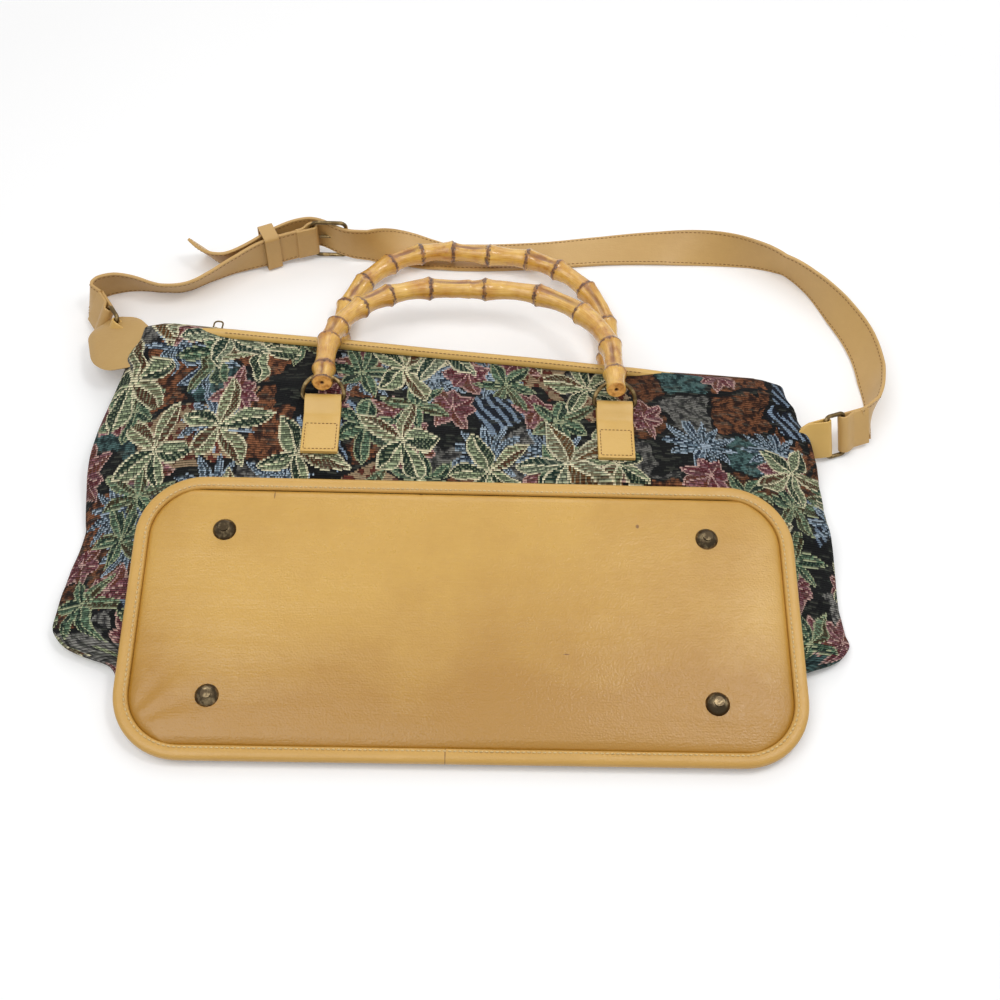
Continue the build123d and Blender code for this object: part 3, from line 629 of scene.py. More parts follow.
class Bench:
    """Modelling by operators, as by hand."""

    @staticmethod
    def clear() -> None:
        """Leave edit mode and deselect everything."""
        if bpy.context.object and bpy.context.object.mode != "OBJECT":
            bpy.ops.object.mode_set(mode="OBJECT")
        bpy.ops.object.select_all(action="DESELECT")

    @staticmethod
    def hold(piece: bpy.types.Object) -> None:
        """Make a piece the only selected one."""
        Bench.clear()
        piece.select_set(True)
        bpy.context.view_layer.objects.active = piece

    @staticmethod
    def sweep(
        name: str,
        rings: Sequence[Sequence[Vector]],
        along: Sequence[float],
        across: Sequence[float],
        closed: bool = False,
    ) -> bpy.types.Object:
        """Extrude a closed outline from ring to ring.

        Args:
            name: Name of the piece.
            rings: Outlines in order, each with the same number of points.
            along: Place of each ring along the piece, for its UV map.
            across: Place of each point round the outline, for its UV map.
            closed: Whether the last ring joins the first.

        Returns:
            The piece, with a UV map of along and across.
        """
        Bench.clear()
        count = len(rings[0])
        bpy.ops.mesh.primitive_circle_add(vertices=count, radius=0.01, fill_type="NOTHING")
        piece = bpy.context.object
        piece.name = piece.data.name = name
        bpy.ops.object.mode_set(mode="EDIT")
        mesh = bmesh.from_edit_mesh(piece.data)
        place = mesh.verts.layers.int.new("place")
        ring_of = mesh.verts.layers.int.new("ring")
        mesh.verts.ensure_lookup_table()
        for index, vert in enumerate(mesh.verts):
            vert[place] = index
            vert.co = rings[0][index]
        bmesh.update_edit_mesh(piece.data)
        laps = [*rings, rings[0]] if closed else list(rings)
        for step, ring in enumerate(laps[1:], 1):
            bpy.ops.mesh.extrude_edges_move()
            mesh = bmesh.from_edit_mesh(piece.data)
            place = mesh.verts.layers.int["place"]
            ring_of = mesh.verts.layers.int["ring"]
            mesh.verts.ensure_lookup_table()
            for vert in mesh.verts[-count:]:
                vert.co = ring[vert[place]]
                vert[ring_of] = step
            bmesh.update_edit_mesh(piece.data)
        if closed:
            bpy.ops.mesh.select_all(action="SELECT")
            bpy.ops.mesh.remove_doubles(threshold=1e-7)
        else:
            for end in (0, len(rings) - 1):
                bpy.ops.mesh.select_all(action="DESELECT")
                mesh = bmesh.from_edit_mesh(piece.data)
                ring_of = mesh.verts.layers.int["ring"]
                for edge in mesh.edges:
                    edge.select_set(all(v[ring_of] == end for v in edge.verts))
                bmesh.update_edit_mesh(piece.data)
                bpy.ops.mesh.edge_face_add()
        bpy.ops.mesh.select_all(action="SELECT")
        bpy.ops.mesh.normals_make_consistent(inside=False)
        mesh = bmesh.from_edit_mesh(piece.data)
        place = mesh.verts.layers.int["place"]
        ring_of = mesh.verts.layers.int["ring"]
        uv = mesh.loops.layers.uv.verify()
        turn = across[-1] + (across[-1] - across[-2])
        length = along[-1] + (along[-1] - along[-2])
        for face in mesh.faces:
            places = [loop.vert[place] for loop in face.loops]
            steps = [loop.vert[ring_of] % len(rings) for loop in face.loops]
            wraps = max(places) - min(places) > count // 2
            over = closed and max(steps) - min(steps) > len(rings) // 2
            for loop, step in zip(face.loops, steps):
                far = wraps and loop.vert[place] == 0
                end = over and step == 0
                loop[uv].uv = (length if end else along[step], turn if far else across[loop.vert[place]])
        bmesh.update_edit_mesh(piece.data)
        bpy.ops.object.mode_set(mode="OBJECT")
        for layer in ("place", "ring"):
            piece.data.attributes.remove(piece.data.attributes[layer])
        return piece

    @staticmethod
    def grid(name: str, columns: int, rows: int, shape: Callable[[float, float], Vector]) -> bpy.types.Object:
        """Lay a grid primitive over a surface.

        Args:
            name: Name of the piece.
            columns: Faces across.
            rows: Faces along.
            shape: Gives the place of a share across and a share along.

        Returns:
            The sheet, with a UV map in shares.
        """
        Bench.clear()
        bpy.ops.mesh.primitive_grid_add(x_subdivisions=columns, y_subdivisions=rows, size=2.0, calc_uvs=True)
        piece = bpy.context.object
        piece.name = piece.data.name = name
        for vert in piece.data.vertices:
            vert.co = shape((vert.co.x + 1.0) / 2.0, (vert.co.y + 1.0) / 2.0)
        return piece

    @staticmethod
    def modify(piece: bpy.types.Object, kind: str, **settings: Any) -> None:
        """Add a modifier and apply it.

        Args:
            piece: The piece that changes.
            kind: Type of the modifier.
            settings: Its settings.
        """
        Bench.hold(piece)
        made = piece.modifiers.new(kind.lower(), kind)
        for key, value in settings.items():
            setattr(made, key, value)
        bpy.ops.object.modifier_apply(modifier=made.name)

    @staticmethod
    def smooth(piece: bpy.types.Object, angle: float = 40.0) -> None:
        """Shade a piece smooth, apart from edges sharper than an angle."""
        Bench.hold(piece)
        bpy.ops.object.shade_smooth_by_angle(angle=math.radians(angle))

    @staticmethod
    def stitches(
        name: str, places: Sequence[tuple[Vector, Vector, Vector]], length: float, width: float
    ) -> bpy.types.Object:
        """Sew a row: one stitch is modelled, then copied to every place.

        Args:
            name: Name of the piece.
            places: Middle, direction and outward normal of each stitch.
            length: Length of a stitch.
            width: Width of its thread.

        Returns:
            The row as one piece.
        """
        Bench.clear()
        bpy.ops.mesh.primitive_uv_sphere_add(segments=6, ring_count=4, radius=1.0)
        pattern = bpy.context.object
        shape = [v.co.copy() for v in pattern.data.vertices]
        sides = [tuple(p.vertices) for p in pattern.data.polygons]
        bpy.data.objects.remove(pattern)
        points: list[Vector] = []
        faces: list[tuple[int, ...]] = []
        for middle, ahead, up in places:
            side = up.cross(ahead)
            first = len(points)
            for p in shape:
                points.append(middle + ahead * (p.z * length / 2) + side * (p.x * width / 2) + up * (p.y * width * 0.35))
            faces.extend(tuple(first + i for i in face) for face in sides)
        data = bpy.data.meshes.new(name)
        data.from_pydata(points, [], faces)
        row = bpy.data.objects.new(name, data)
        bpy.context.scene.collection.objects.link(row)
        Bench.hold(row)
        bpy.ops.object.mode_set(mode="EDIT")
        bpy.ops.mesh.select_all(action="SELECT")
        bpy.ops.mesh.normals_make_consistent(inside=False)
        bpy.ops.object.mode_set(mode="OBJECT")
        bpy.ops.object.shade_smooth()
        return row


def settle(
    piece: bpy.types.Object, finish: Finish, slot: Slot, body: str = BAG, nodes: Sequence[str] = ()
) -> bpy.types.Object:
    """Dress a finished piece, ride it on its body and hide the nodes that it replaces.

    Args:
        piece: The piece.
        finish: Its finish.
        slot: Not used.
        body: The body that carries it.
        nodes: Nodes that it replaces.

    Returns:
        The same piece.
    """
    finish.dress(piece)
    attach(piece, body)
    if nodes:
        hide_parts(*nodes)
    LOG.info("%s rides on %s", piece.name, body)
    return piece


def evenly(points: Sequence[Vector], step: float) -> list[tuple[Vector, Vector, float]]:
    """Walk along a line in equal steps.

    Args:
        points: Points of the line.
        step: Length of a step.

    Returns:
        Place, direction and share of the length for the middle of each step.
    """
    spans = [(b - a).length for a, b in zip(points, points[1:])]
    total = sum(spans)
    count = max(1, int(total / step))
    made = []
    for index in range(count):
        reach = (index + 0.5) * total / count
        walked = 0.0
        for span, a, b in zip(spans, points, points[1:]):
            if walked + span >= reach and span > 0:
                made.append((a.lerp(b, (reach - walked) / span), (b - a).normalized(), reach / total))
                break
            walked += span
    return made


def round_rect(length: float, width: float, radius: float, corner_steps: int, side_steps: int) -> list[tuple[Vector, Vector]]:
    """Walk round a rectangle with round corners, whose near side lies on the X axis.

    Args:
        length: Size along X.
        width: Size along Y.
        radius: Radius of its corners.
        corner_steps: Points on each corner.
        side_steps: Points on each side.

    Returns:
        Points with their outward normals.
    """
    made = []
    half, run = length / 2 - radius, width - 2 * radius
    corners = ((half, radius, -90), (half, width - radius, 0), (-half, width - radius, 90), (-half, radius, 180))
    for index, (x, y, start) in enumerate(corners):
        for step in range(corner_steps + 1):
            turn = math.radians(start + 90.0 * step / corner_steps)
            normal = Vector((math.cos(turn), math.sin(turn)))
            made.append((Vector((x, y)) + normal * radius, normal))
        x2, y2, _ = corners[(index + 1) % 4]
        turn = math.radians(start + 90.0)
        normal = Vector((math.cos(turn), math.sin(turn)))
        for step in range(1, side_steps):
            middle = Vector((x, y)).lerp(Vector((x2, y2)), step / side_steps)
            made.append((middle + normal * radius, normal))
    return made


@dataclass
class Base:
    """Base of the bag: a soft panel in a stitched welt, on four feet."""

    length: float = 0.460
    width: float = 0.203
    corner: float = 0.046
    welt: float = 0.0097
    crown: float = 0.0024
    stitch_inset: float = 0.0076
    stitch_step: float = 0.0034
    feet: tuple[str, ...] = ("foot_near_left", "foot_near_right", "foot_far_left", "foot_far_right")
    welt_profile: tuple[tuple[float, float], ...] = (
        (0.0012, -0.0050), (0.0, -0.0040), (-0.0002, -0.0014), (0.0003, 0.0002), (0.0012, 0.0012), (0.0030, 0.0018),
        (0.0052, 0.0018), (0.0072, 0.0014), (0.0088, 0.0011), (0.0097, 0.0001), (0.0098, -0.0018), (0.0090, -0.0048),
    )

    def relief(self, u: float, v: float, edge: float) -> float:
        """Height of the soft panel over the base's plane.

        Args:
            u: Place along the base.
            v: Place across the base.
            edge: Distance to the welt's seam.

        Returns:
            The height.
        """
        sink = -0.0030 * math.exp(-edge / 0.0014)
        swell = self.crown * (1.0 - math.exp(-edge / 0.015))
        wave = noise.noise(Vector((u * 7.0, v * 13.0, 0.3))) * 0.0011
        crease = noise.noise(Vector((u * 16.0, v * 85.0, 4.0))) * 0.00022
        corner = math.exp(-((u + 0.196) ** 2 + (v - 0.040) ** 2) / 0.022**2)
        pucker = corner * 0.0005 * math.sin(math.atan2(v - 0.020, u + 0.222) * 11.0)
        return sink + (swell + wave + crease + pucker) * min(1.0, edge / 0.006)

    def build(self, nodes: dict[str, bpy.types.Object]) -> None:
        """Model the panel, the welt and its stitches.

        Args:
            nodes: Nodes of the frame.
        """
        inset = self.welt - 0.0006
        half_run, radius = self.length / 2 - inset, self.corner - inset
        low, high = inset, self.width - inset

        def shape(share_u: float, share_v: float) -> Vector:
            v = low + (high - low) * (0.5 - 0.5 * math.cos(math.pi * (share_v * 0.9 + 0.05))) if 0 < share_v < 1 else (low if share_v == 0 else high)
            over = max(0.0, radius - min(v - low, high - v))
            half = half_run - radius + math.sqrt(max(0.0, radius**2 - over**2))
            u = (2.0 * share_u - 1.0) * half
            edge = min(half - abs(u), v - low, high - v)
            return BASE.at(u, v, self.relief(u, v, max(0.0, edge)))

        panel = Bench.grid("base_panel_skin", 200, 110, shape)
        Bench.modify(panel, "SOLIDIFY", thickness=0.0016, offset=-1.0)
        Bench.smooth(panel, 60)
        settle(panel, Finish.BASE, Slot.BASE, nodes=("base_panel",))
        path = round_rect(self.length, self.width, self.corner, 14, 40)
        rings = []
        for index, (point, normal) in enumerate(path):
            wave = noise.noise(Vector((point.x * 22.0, point.y * 22.0, 9.0))) * 0.0004
            rings.append(
                [BASE.at(point.x - normal.x * d, point.y - normal.y * d, h + wave * (h > 0)) for d, h in self.welt_profile]
            )
        flat = [BASE.at(p.x, p.y, 0.0) for p, _ in path]
        along = [0.0]
        for a, b in zip(flat, flat[1:]):
            along.append(along[-1] + (b - a).length)
        across = [index * 0.002 for index in range(len(self.welt_profile))]
        welt = Bench.sweep("base_welt", rings, along, across, closed=True)
        Bench.modify(welt, "SUBSURF", levels=1, render_levels=1)
        Bench.smooth(welt, 60)
        settle(welt, Finish.WELT, Slot.WELT, nodes=("base_binding",))
        line = [BASE.at(p.x - n.x * self.stitch_inset, p.y - n.y * self.stitch_inset, 0.0016) for p, n in path]
        places = [(spot, ahead, BASE.z) for spot, ahead, _ in evenly([*line, line[0]], self.stitch_step)]
        row = Bench.stitches("base_stitches", places, 0.0027, 0.0013)
        settle(row, Finish.THREAD, Slot.WELT)
        Finish.FOOT.dress(*[nodes[name] for name in self.feet])
        Finish.TAPE.dress(nodes["base_board"])


@dataclass
class Body:
    """Tapestry body: a collapsed shell that sags between the base and the zip."""

    reach: float = 0.321
    half: float = 0.268
    height: float = 0.046
    shift: float = -0.006
    zip_half: float = 0.249
    wrap: float = 0.0045
    zip_top: float = 0.038
    zip_bottom: float = 0.010
    stations: int = 72
    shares: tuple[tuple[float, float, float, float], ...] = (
        (0.015, 0.66, 0.22, 0.70), (0.10, 0.80, 0.34, 0.70), (0.205, 0.86, 0.46, 0.66), (0.245, 0.98, 0.52, 0.64),
        (0.285, 1.02, 0.58, 0.62), (0.38, 1.005, 0.69, 0.60), (0.52, 1.0, 0.80, 0.60), (0.64, 1.0, 0.85, 0.62),
        (0.70, 1.0, 0.93, 0.64), (0.78, 0.995, 1.0, 0.66), (0.86, 0.985, 0.99, 0.68),
    )
    under_tabs: float = 0.0421
    slack: float = 0.03
    puff: float = 0.9
    weight: float = 0.2
    steps: int = 16
    most: float = 0.006

    def tables(self) -> tuple[np.ndarray, np.ndarray]:
        """Reaches of the known sections, and their half width, height, shoulder and underside."""
        rows = [(s * self.reach, w * self.half, t * self.height, sh, 0.0) for s, w, t, sh in self.shares]
        rows.append((self.reach - 0.015, self.zip_half, self.zip_top, 1.0, self.zip_bottom))
        rows.append((self.reach, self.zip_half - 0.001, self.zip_top - 0.001, 0.95, self.zip_bottom + 0.001))
        table = np.array(rows)
        return table[:, 0], table[:, 1:]

    def outline(self, half: float, top: float, shoulder: float, under: float) -> list[tuple[float, float]]:
        """Section across the body, from the left foot over the top to the right foot and back underneath.

        Args:
            half: Half width.
            top: Height of the crown.
            shoulder: Height of the shoulder as a share.
            under: Height of the underside.

        Returns:
            Points of the section.
        """
        foot, broad = half * 0.95, half * (0.985 if under > 0.5 * self.zip_bottom else 0.945)
        rise = under + (top - under) * shoulder
        belly = under + (top - under) * 0.36
        side = []
        for step in range(9):
            t = step / 9.0
            a, b, c = (1 - t) * (1 - 2 * t), 4 * t * (1 - t), t * (2 * t - 1)
            side.append((foot * a + half * b + broad * c, under * a + belly * b + rise * c))
        crown = []
        for step in range(61):
            t = 1.0 - 2.0 * step / 60.0
            crown.append((broad * t, rise + (top - rise) * (1.0 - abs(t) ** 5.3)))
        floor = [(foot * (-1.0 + 2.0 * step / 24.0), under) for step in range(1, 24)]
        right = [*side]
        left = [(-x, z) for x, z in side]
        return [*left, *[(-x, z) for x, z in crown], *reversed(right), *[(-x, z) for x, z in floor]]

    def bed(self, point: Vector) -> float:
        """Greatest height that the base leaves for the cloth at a place."""
        reach = (point.y - NEAR_Y) / math.cos(TILT)
        qx = abs(point.x) - (0.230 - 0.046)
        qy = abs(reach - 0.1015) - (0.1015 - 0.046)
        out = math.hypot(max(qx, 0.0), max(qy, 0.0)) + min(max(qx, qy), 0.0) - 0.046
        limit = 0.009 + reach * math.sin(TILT) - 0.0056 + max(0.0, out - 0.0005) * 4.0
        if abs(abs(point.x) - 0.107) < 0.0165 and 0.056 < point.y < 0.112:
            limit = min(limit, self.under_tabs)
        return limit

    def folds(self, point: Vector) -> float:
        """Soft folds of the cloth at a place, as a rise."""
        x, y = point.x, point.y
        wide = noise.noise(Vector((x * 9.0, y * 12.0, 1.7))) * 0.0042
        small = noise.noise(Vector((x * 24.0, y * 30.0, 6.1))) * 0.0016
        flank = math.exp(-((abs(x) - 0.262) / 0.03) ** 2)
        drape = flank * 0.0035 * math.sin((y * 55.0) + x * 30.0)
        to_zip = (x - ZIP.origin.x) * ZIP.y.x + (y - ZIP.origin.y) * ZIP.y.y
        tucked = min(1.0, max(0.0, (x - 0.108) / 0.034)) + min(1.0, max(0.0, (-x - 0.180) / 0.026))
        over_band = min(1.0, max(0.0, (to_zip + 0.026) / 0.010))
        tucked *= min(1.0, max(0.2, (0.250 - abs(x - self.shift)) / 0.02))
        calm = 1.0 - 0.8 * over_band
        return (wide + small + drape) * calm + over_band * (0.0052 * tucked - 0.0012)

    def build(self) -> None:
        """Model the shell, let it sag, and dress it."""
        reaches, values = self.tables()
        stations = np.linspace(reaches[0], reaches[-1], self.stations)
        rings, along, held = [], [], []
        half_base = 0.203
        for s in stations:
            half, top, shoulder, under = (float(np.interp(s, reaches, values[:, k])) for k in range(4))
            turn = SKEW * max(0.0, s - half_base) / (self.reach - half_base)
            ahead = Vector((math.cos(turn), -math.sin(turn), 0))
            origin = Vector((self.shift, NEAR_Y + s, 0))
            ring = []
            for x, z in self.outline(half, top, shoulder, under):
                point = origin + ahead * x
                point.z = z
                sewn = max(0.0, 1.0 - (self.reach - s) / 0.012)
                point.y += self.wrap * sewn * min(1.0, max(0.0, (abs(x) - 0.205) / 0.02))
                if z > under + 0.004:
                    point.z = min(z + self.folds(point) * min(1.0, (z - under) / 0.02), self.bed(point))
                ring.append(point)
            rings.append(ring)
            along.append(float(s))
        flat = self.outline(self.half, self.height, 0.65, 0.0)
        across = [0.0]
        for (x1, z1), (x2, z2) in zip(flat, flat[1:]):
            across.append(across[-1] + math.hypot(x2 - x1, z2 - z1))
        shell = Bench.sweep("tapestry_shell", rings, along, across)
        self.flat_map(shell)
        self.sag(shell)
        Bench.modify(shell, "SUBSURF", levels=1, render_levels=1)
        Bench.smooth(shell, 70)
        settle(shell, Finish.TAPESTRY, Slot.TAPESTRY, nodes=("tapestry_body",))

    def flat_map(self, shell: bpy.types.Object) -> None:
        """Turn the map so that the cloth's ribs run across the bag."""
        for loop in shell.data.uv_layers.active.data:
            loop.uv = (loop.uv[1], loop.uv[0])

    def sag(self, shell: bpy.types.Object) -> None:
        """Let the cloth settle with a little slack, held where it is sewn or lies under something.

        Args:
            shell: The body's shell.
        """
        rest = [v.co.copy() for v in shell.data.vertices]
        group = shell.vertex_groups.new(name="held")
        for vert in shell.data.vertices:
            co = vert.co
            sewn = (co.y - (0.1605 - co.x * math.tan(SKEW))) > -0.020
            hidden = co.z < 0.004 or co.z > self.bed(co) - 0.001 or co.y < NEAR_Y + 0.02
            group.add([vert.index], 1.0 if sewn or hidden else 0.0, "REPLACE")
        cloth = shell.modifiers.new("cloth", "CLOTH")
        cloth.settings.quality = 5
        cloth.settings.mass = 0.25
        cloth.settings.tension_stiffness = 18.0
        cloth.settings.compression_stiffness = 18.0
        cloth.settings.bending_stiffness = 2.5
        cloth.settings.vertex_group_mass = "held"
        cloth.settings.shrink_min = -self.slack
        cloth.settings.use_pressure = True
        cloth.settings.uniform_pressure_force = self.puff
        cloth.settings.effector_weights.gravity = self.weight
        cloth.collision_settings.use_collision = False
        scene = bpy.context.scene
        cloth.point_cache.frame_start, cloth.point_cache.frame_end = 1, self.steps
        for step in range(1, self.steps + 1):
            scene.frame_set(step)
        Bench.hold(shell)
        bpy.ops.object.modifier_apply(modifier=cloth.name)
        scene.frame_set(1)
        for vert, before in zip(shell.data.vertices, rest):
            shove = vert.co - before
            if shove.length > self.most:
                shove = shove.normalized() * self.most
            vert.co = before + shove
            vert.co.z = max(0.0, min(vert.co.z, max(before.z, self.bed(vert.co))))
        shell.vertex_groups.clear()


@dataclass(frozen=True)
class Fold:
    """A strip folded round a bar: two layers and a loop."""

    width: float
    length: float
    neck: float
    tunnel: float
    sheet: float
    taper: float = 0.0

    def line(self) -> list[tuple[Vector, Vector]]:
        """Middle of the sheet as seen from the side.

        Returns:
            Points with their outward normals, from the under layer round the bar to the upper layer.
        """
        loop = self.tunnel + self.sheet
        mid = self.tunnel + self.sheet / 2
        top = 1.5 * self.sheet
        made = []
        for step in range(9):
            made.append((Vector((-self.length * (1 - step / 8.0), self.sheet / 2)), Vector((0, -1))))
        slope = math.atan2(loop + mid - top, self.neck)
        for step in range(1, 17):
            turn = -math.pi / 2 + (math.pi + slope) * step / 16.0
            normal = Vector((math.cos(turn), math.sin(turn)))
            made.append((Vector((0, loop)) + normal * mid, normal))
        start = made[-1][0]
        for step in range(1, 9):
            t = step / 8.0
            ease = t * t * (3 - 2 * t)
            point = Vector((start.x + (-self.neck - start.x) * t, start.y + (top - start.y) * (0.55 * t + 0.45 * ease)))
            made.append((point, Vector((-math.sin(slope) * (1 - t), 1)).normalized()))
        for step in range(1, 13):
            made.append((Vector((-self.neck - (self.length - self.neck) * step / 12.0, top)), Vector((0, 1))))
        return made

    def build(self, name: str, seat: Seat) -> bpy.types.Object:
        """Model the strip on its seat.

        Args:
            name: Name of the piece.
            seat: Under the bar, with X along the bar and Y to the loop.

        Returns:
            The strip.
        """
        half, thick = self.width / 2, self.sheet * 0.46
        outline = [(-half, 0), (-half * 0.97, thick), (-half * 0.5, thick), (0, thick), (half * 0.5, thick), (half * 0.97, thick)]
        outline += [(half, 0), (half * 0.97, -thick), (half * 0.5, -thick), (0, -thick), (-half * 0.5, -thick), (-half * 0.97, -thick)]
        rings = []
        along = [0.0]
        line = self.line()
        for point, normal in line:
            tail = max(0.0, (-point.x - self.neck) / (self.length - self.neck))
            slim = 1.0 - self.taper * tail
            rings.append([seat.at(a * slim, point.x + normal.x * b, point.y + normal.y * b) for a, b in outline])
        for (a, _), (b, _) in zip(line, line[1:]):
            along.append(along[-1] + (b - a).length)
        piece = Bench.sweep(name, rings, along, [index * 0.004 for index in range(len(outline))])
        Bench.modify(piece, "BEVEL", width=0.0003, segments=2, limit_method="ANGLE")
        Bench.smooth(piece, 40)
        return piece


@dataclass
class HandleTabs:
    """Leather tabs that hold the rings of the handles."""

    fold: Fold = Fold(0.027, 0.046, 0.013, 0.0026, 0.0017)
    bar_y: float = 0.1055
    height: float = 0.0424
    half_span: float = 0.107
    rear_inset: float = 0.0032
    rear_height: float = 0.010
    box_share: float = 0.54
    margin: float = 0.0022
    step: float = 0.0027

    def seats(self) -> dict[str, Seat]:
        """Seats of the four tabs by name."""
        made = {}
        for side, x in (("left", -self.half_span), ("right", self.half_span)):
            made[f"front_{side}"] = Seat.of((x, self.bar_y, self.height), (1, 0, 0), (0, 0, 1))
            spot = ZIP.at(x, -self.rear_inset, self.rear_height)
            made[f"rear_{side}"] = Seat.of(spot, -ZIP.x, (0, 0, -1))
        return made

    def build(self, nodes: dict[str, bpy.types.Object]) -> None:
        """Model the tabs with their stitched boxes, and dress the rings.

        Args:
            nodes: Nodes of the frame.
        """
        for name, seat in self.seats().items():
            tab = self.fold.build(f"{name}_leather_tab", seat)
            settle(tab, Finish.TAB, Slot.STRAP, nodes=(f"{name}_tab",))
            top = self.fold.sheet * 1.96 + 0.0001
            half = self.fold.width / 2 - self.margin
            low = -self.fold.length + self.margin
            high = -self.fold.length * (1 - self.box_share)
            corners = [(-half, low), (half, low), (half, high), (-half, high), (-half, low)]
            places = []
            for (x1, y1), (x2, y2) in zip(corners, corners[1:]):
                run = [seat.at(x1, y1, top), seat.at(x2, y2, top)]
                places.extend((spot, ahead, seat.z) for spot, ahead, _ in evenly(run, self.step))
            row = Bench.stitches(f"{name}_tab_stitches", places, 0.0021, 0.0008)
            settle(row, Finish.DARK_THREAD, Slot.STRAP)
            Finish.BRASS.dress(nodes[f"{name}_ring"])


@dataclass
class BambooHandle:
    """A bent bamboo handle with knots and cut ends."""

    name: str
    body: str
    seat: Seat
    seed: float
    half_span: float = 0.107
    height: float = 0.114
    shoulder: float = 0.084
    tip: float = 0.0075
    radius: float = 0.0079
    rings: int = 330
    sides: int = 26
    knots: tuple[float, ...] = (0.0, 0.044, 0.131, 0.182, 0.259, 0.330, 0.416, 0.527, 0.637, 0.743, 0.863, 0.950)
    # Cut end stations: shrink of the radius, depth into the end, share of the cut face, and painted shade of the hollow
    # middle.
    cut_end: tuple[tuple[float, float, float], ...] = (
        (0.10, 0.0030, 1.0), (0.13, 0.0012, 1.0), (0.16, 0.0003, 0.6), (0.24, 0.0002, 0.0), (0.60, 0.0, 0.0), (0.90, 0.0, 0.0),
    )

    def line(self) -> list[tuple[Vector, Vector]]:
        """Middle line in the handle's plane, with its direction.

        Returns:
            Points and directions in even steps.
        """
        run = self.height - self.shoulder + self.tip
        arc = self.shoulder * math.pi / 2
        flat = 2 * (self.half_span - self.shoulder)
        total = 2 * run + 2 * arc + flat
        made = []
        for index in range(self.rings + 1):
            s = total * index / self.rings
            mirrored = s > total / 2
            d = total - s if mirrored else s
            if d < run:
                point, ahead = Vector((-self.half_span, -self.tip + d)), Vector((0, 1))
            elif d < run + arc:
                turn = (d - run) / self.shoulder
                centre = Vector((-self.half_span + self.shoulder, self.height - self.shoulder))
                point = centre + Vector((-math.cos(turn), math.sin(turn))) * self.shoulder
                ahead = Vector((math.sin(turn), math.cos(turn)))
            else:
                point, ahead = Vector((-self.half_span + self.shoulder + d - run - arc, self.height)), Vector((1, 0))
            if mirrored:
                point, ahead = Vector((-point.x, point.y)), Vector((ahead.x, -ahead.y))
            made.append((point, ahead))
        return made

    def swell(self, share: float) -> tuple[float, float]:
        """Girth of the bamboo at a share of its length.

        Args:
            share: Share of the length.

        Returns:
            Factor on the radius, and nearness to a knot from 0 to 1.
        """
        near = min(abs(share - k) for k in self.knots)
        before = max([k for k in self.knots if k <= share], default=0.0)
        after = min([k for k in self.knots if k > share], default=1.0)
        middle = (share - before) / max(1e-6, after - before)
        toward = middle if share < 0.5 else 1.0 - middle
        flare = 0.17 * toward**2.6 - 0.11 * math.sin(math.pi * middle) ** 0.8
        band = math.exp(-((near / 0.0058) ** 4))
        nick = math.exp(-((near / 0.0021) ** 2))
        bulge = math.exp(-((near / 0.011) ** 2))
        vary = 0.05 * noise.noise(Vector((before * 31.0 + self.seed, 0.2, 0.7)))
        return 1.0 + flare + 0.07 * band - 0.06 * nick + 0.03 * bulge + vary, band

    def groove(self, share: float, turn: float) -> float:
        """Depth of the bud's groove along every other stretch between knots.

        Args:
            share: Share of the length.
            turn: Angle round the handle.

        Returns:
            0 on the round, 1 in the bottom of a groove.
        """
        before = max([k for k in self.knots if k <= share], default=0.0)
        after = min([k for k in self.knots if k > share], default=1.0)
        index = self.knots.index(before) if before in self.knots else 0
        middle = (share - before) / max(1e-6, after - before)
        facing = math.pi * (0.5 + 0.22 * noise.noise(Vector((index * 5.3, self.seed, 0.4)))) + (index % 2) * math.pi
        off = (turn - facing + math.pi) % (2 * math.pi) - math.pi
        return math.exp(-((off / 0.24) ** 2)) * max(0.0, math.sin(math.pi * middle)) ** 0.5

    def build(self) -> None:
        """Model the handle with its cut ends, and dress it."""
        line = self.line()
        rings, along = [], []
        marks: dict[str, list[float]] = {"knot": [], "groove": [], "cut": [], "hollow_painted_shade": []}
        stations = [(0, r, d, 1.0, p) for r, d, p in self.cut_end]
        stations += [(index, 1.0, 0.0, 0.0, 0.0) for index in range(self.rings + 1)]
        stations += [(self.rings, r, -d, 1.0, p) for r, d, p in reversed(self.cut_end)]
        for index, shrink, depth, cut, hollow_painted_shade in stations:
            point, ahead = line[index]
            share = index / self.rings
            factor, band = self.swell(share)
            end = min(share, 1 - share) * self.rings
            factor *= 1.0 - 0.10 * math.exp(-end * 1.6)
            side = Vector((ahead.y, -ahead.x))
            spot = point + ahead * depth
            ring = []
            for step in range(self.sides):
                turn = 2 * math.pi * step / self.sides
                rough = noise.noise(Vector((share * 60.0, math.cos(turn) * 1.2 + self.seed, math.sin(turn) * 1.2)))
                hollow = self.groove(share, turn)
                girth = self.radius * shrink * (factor + 0.04 * rough - 0.26 * hollow)
                a, b = math.cos(turn) * girth, math.sin(turn) * girth
                ring.append(self.seat.at(spot.x + side.x * a, spot.y + side.y * a, b))
                for name, value in (("knot", band * (1 - cut)), ("groove", hollow * (1 - cut)), ("cut", cut), ("hollow_painted_shade", hollow_painted_shade)):
                    marks[name].append(value)
            rings.append(ring)
            along.append(share)
        handle = Bench.sweep(self.name, rings, along, [k / self.sides for k in range(self.sides)])
        for name, values in marks.items():
            layer = handle.data.attributes.new(name, "FLOAT", "POINT")
            layer.data.foreach_set("value", np.array(values, np.float32))
        Bench.modify(handle, "SUBSURF", levels=1, render_levels=1)
        Bench.smooth(handle, 60)
        settle(handle, Finish.BAMBOO, Slot.BAMBOO, self.body, (self.body,))


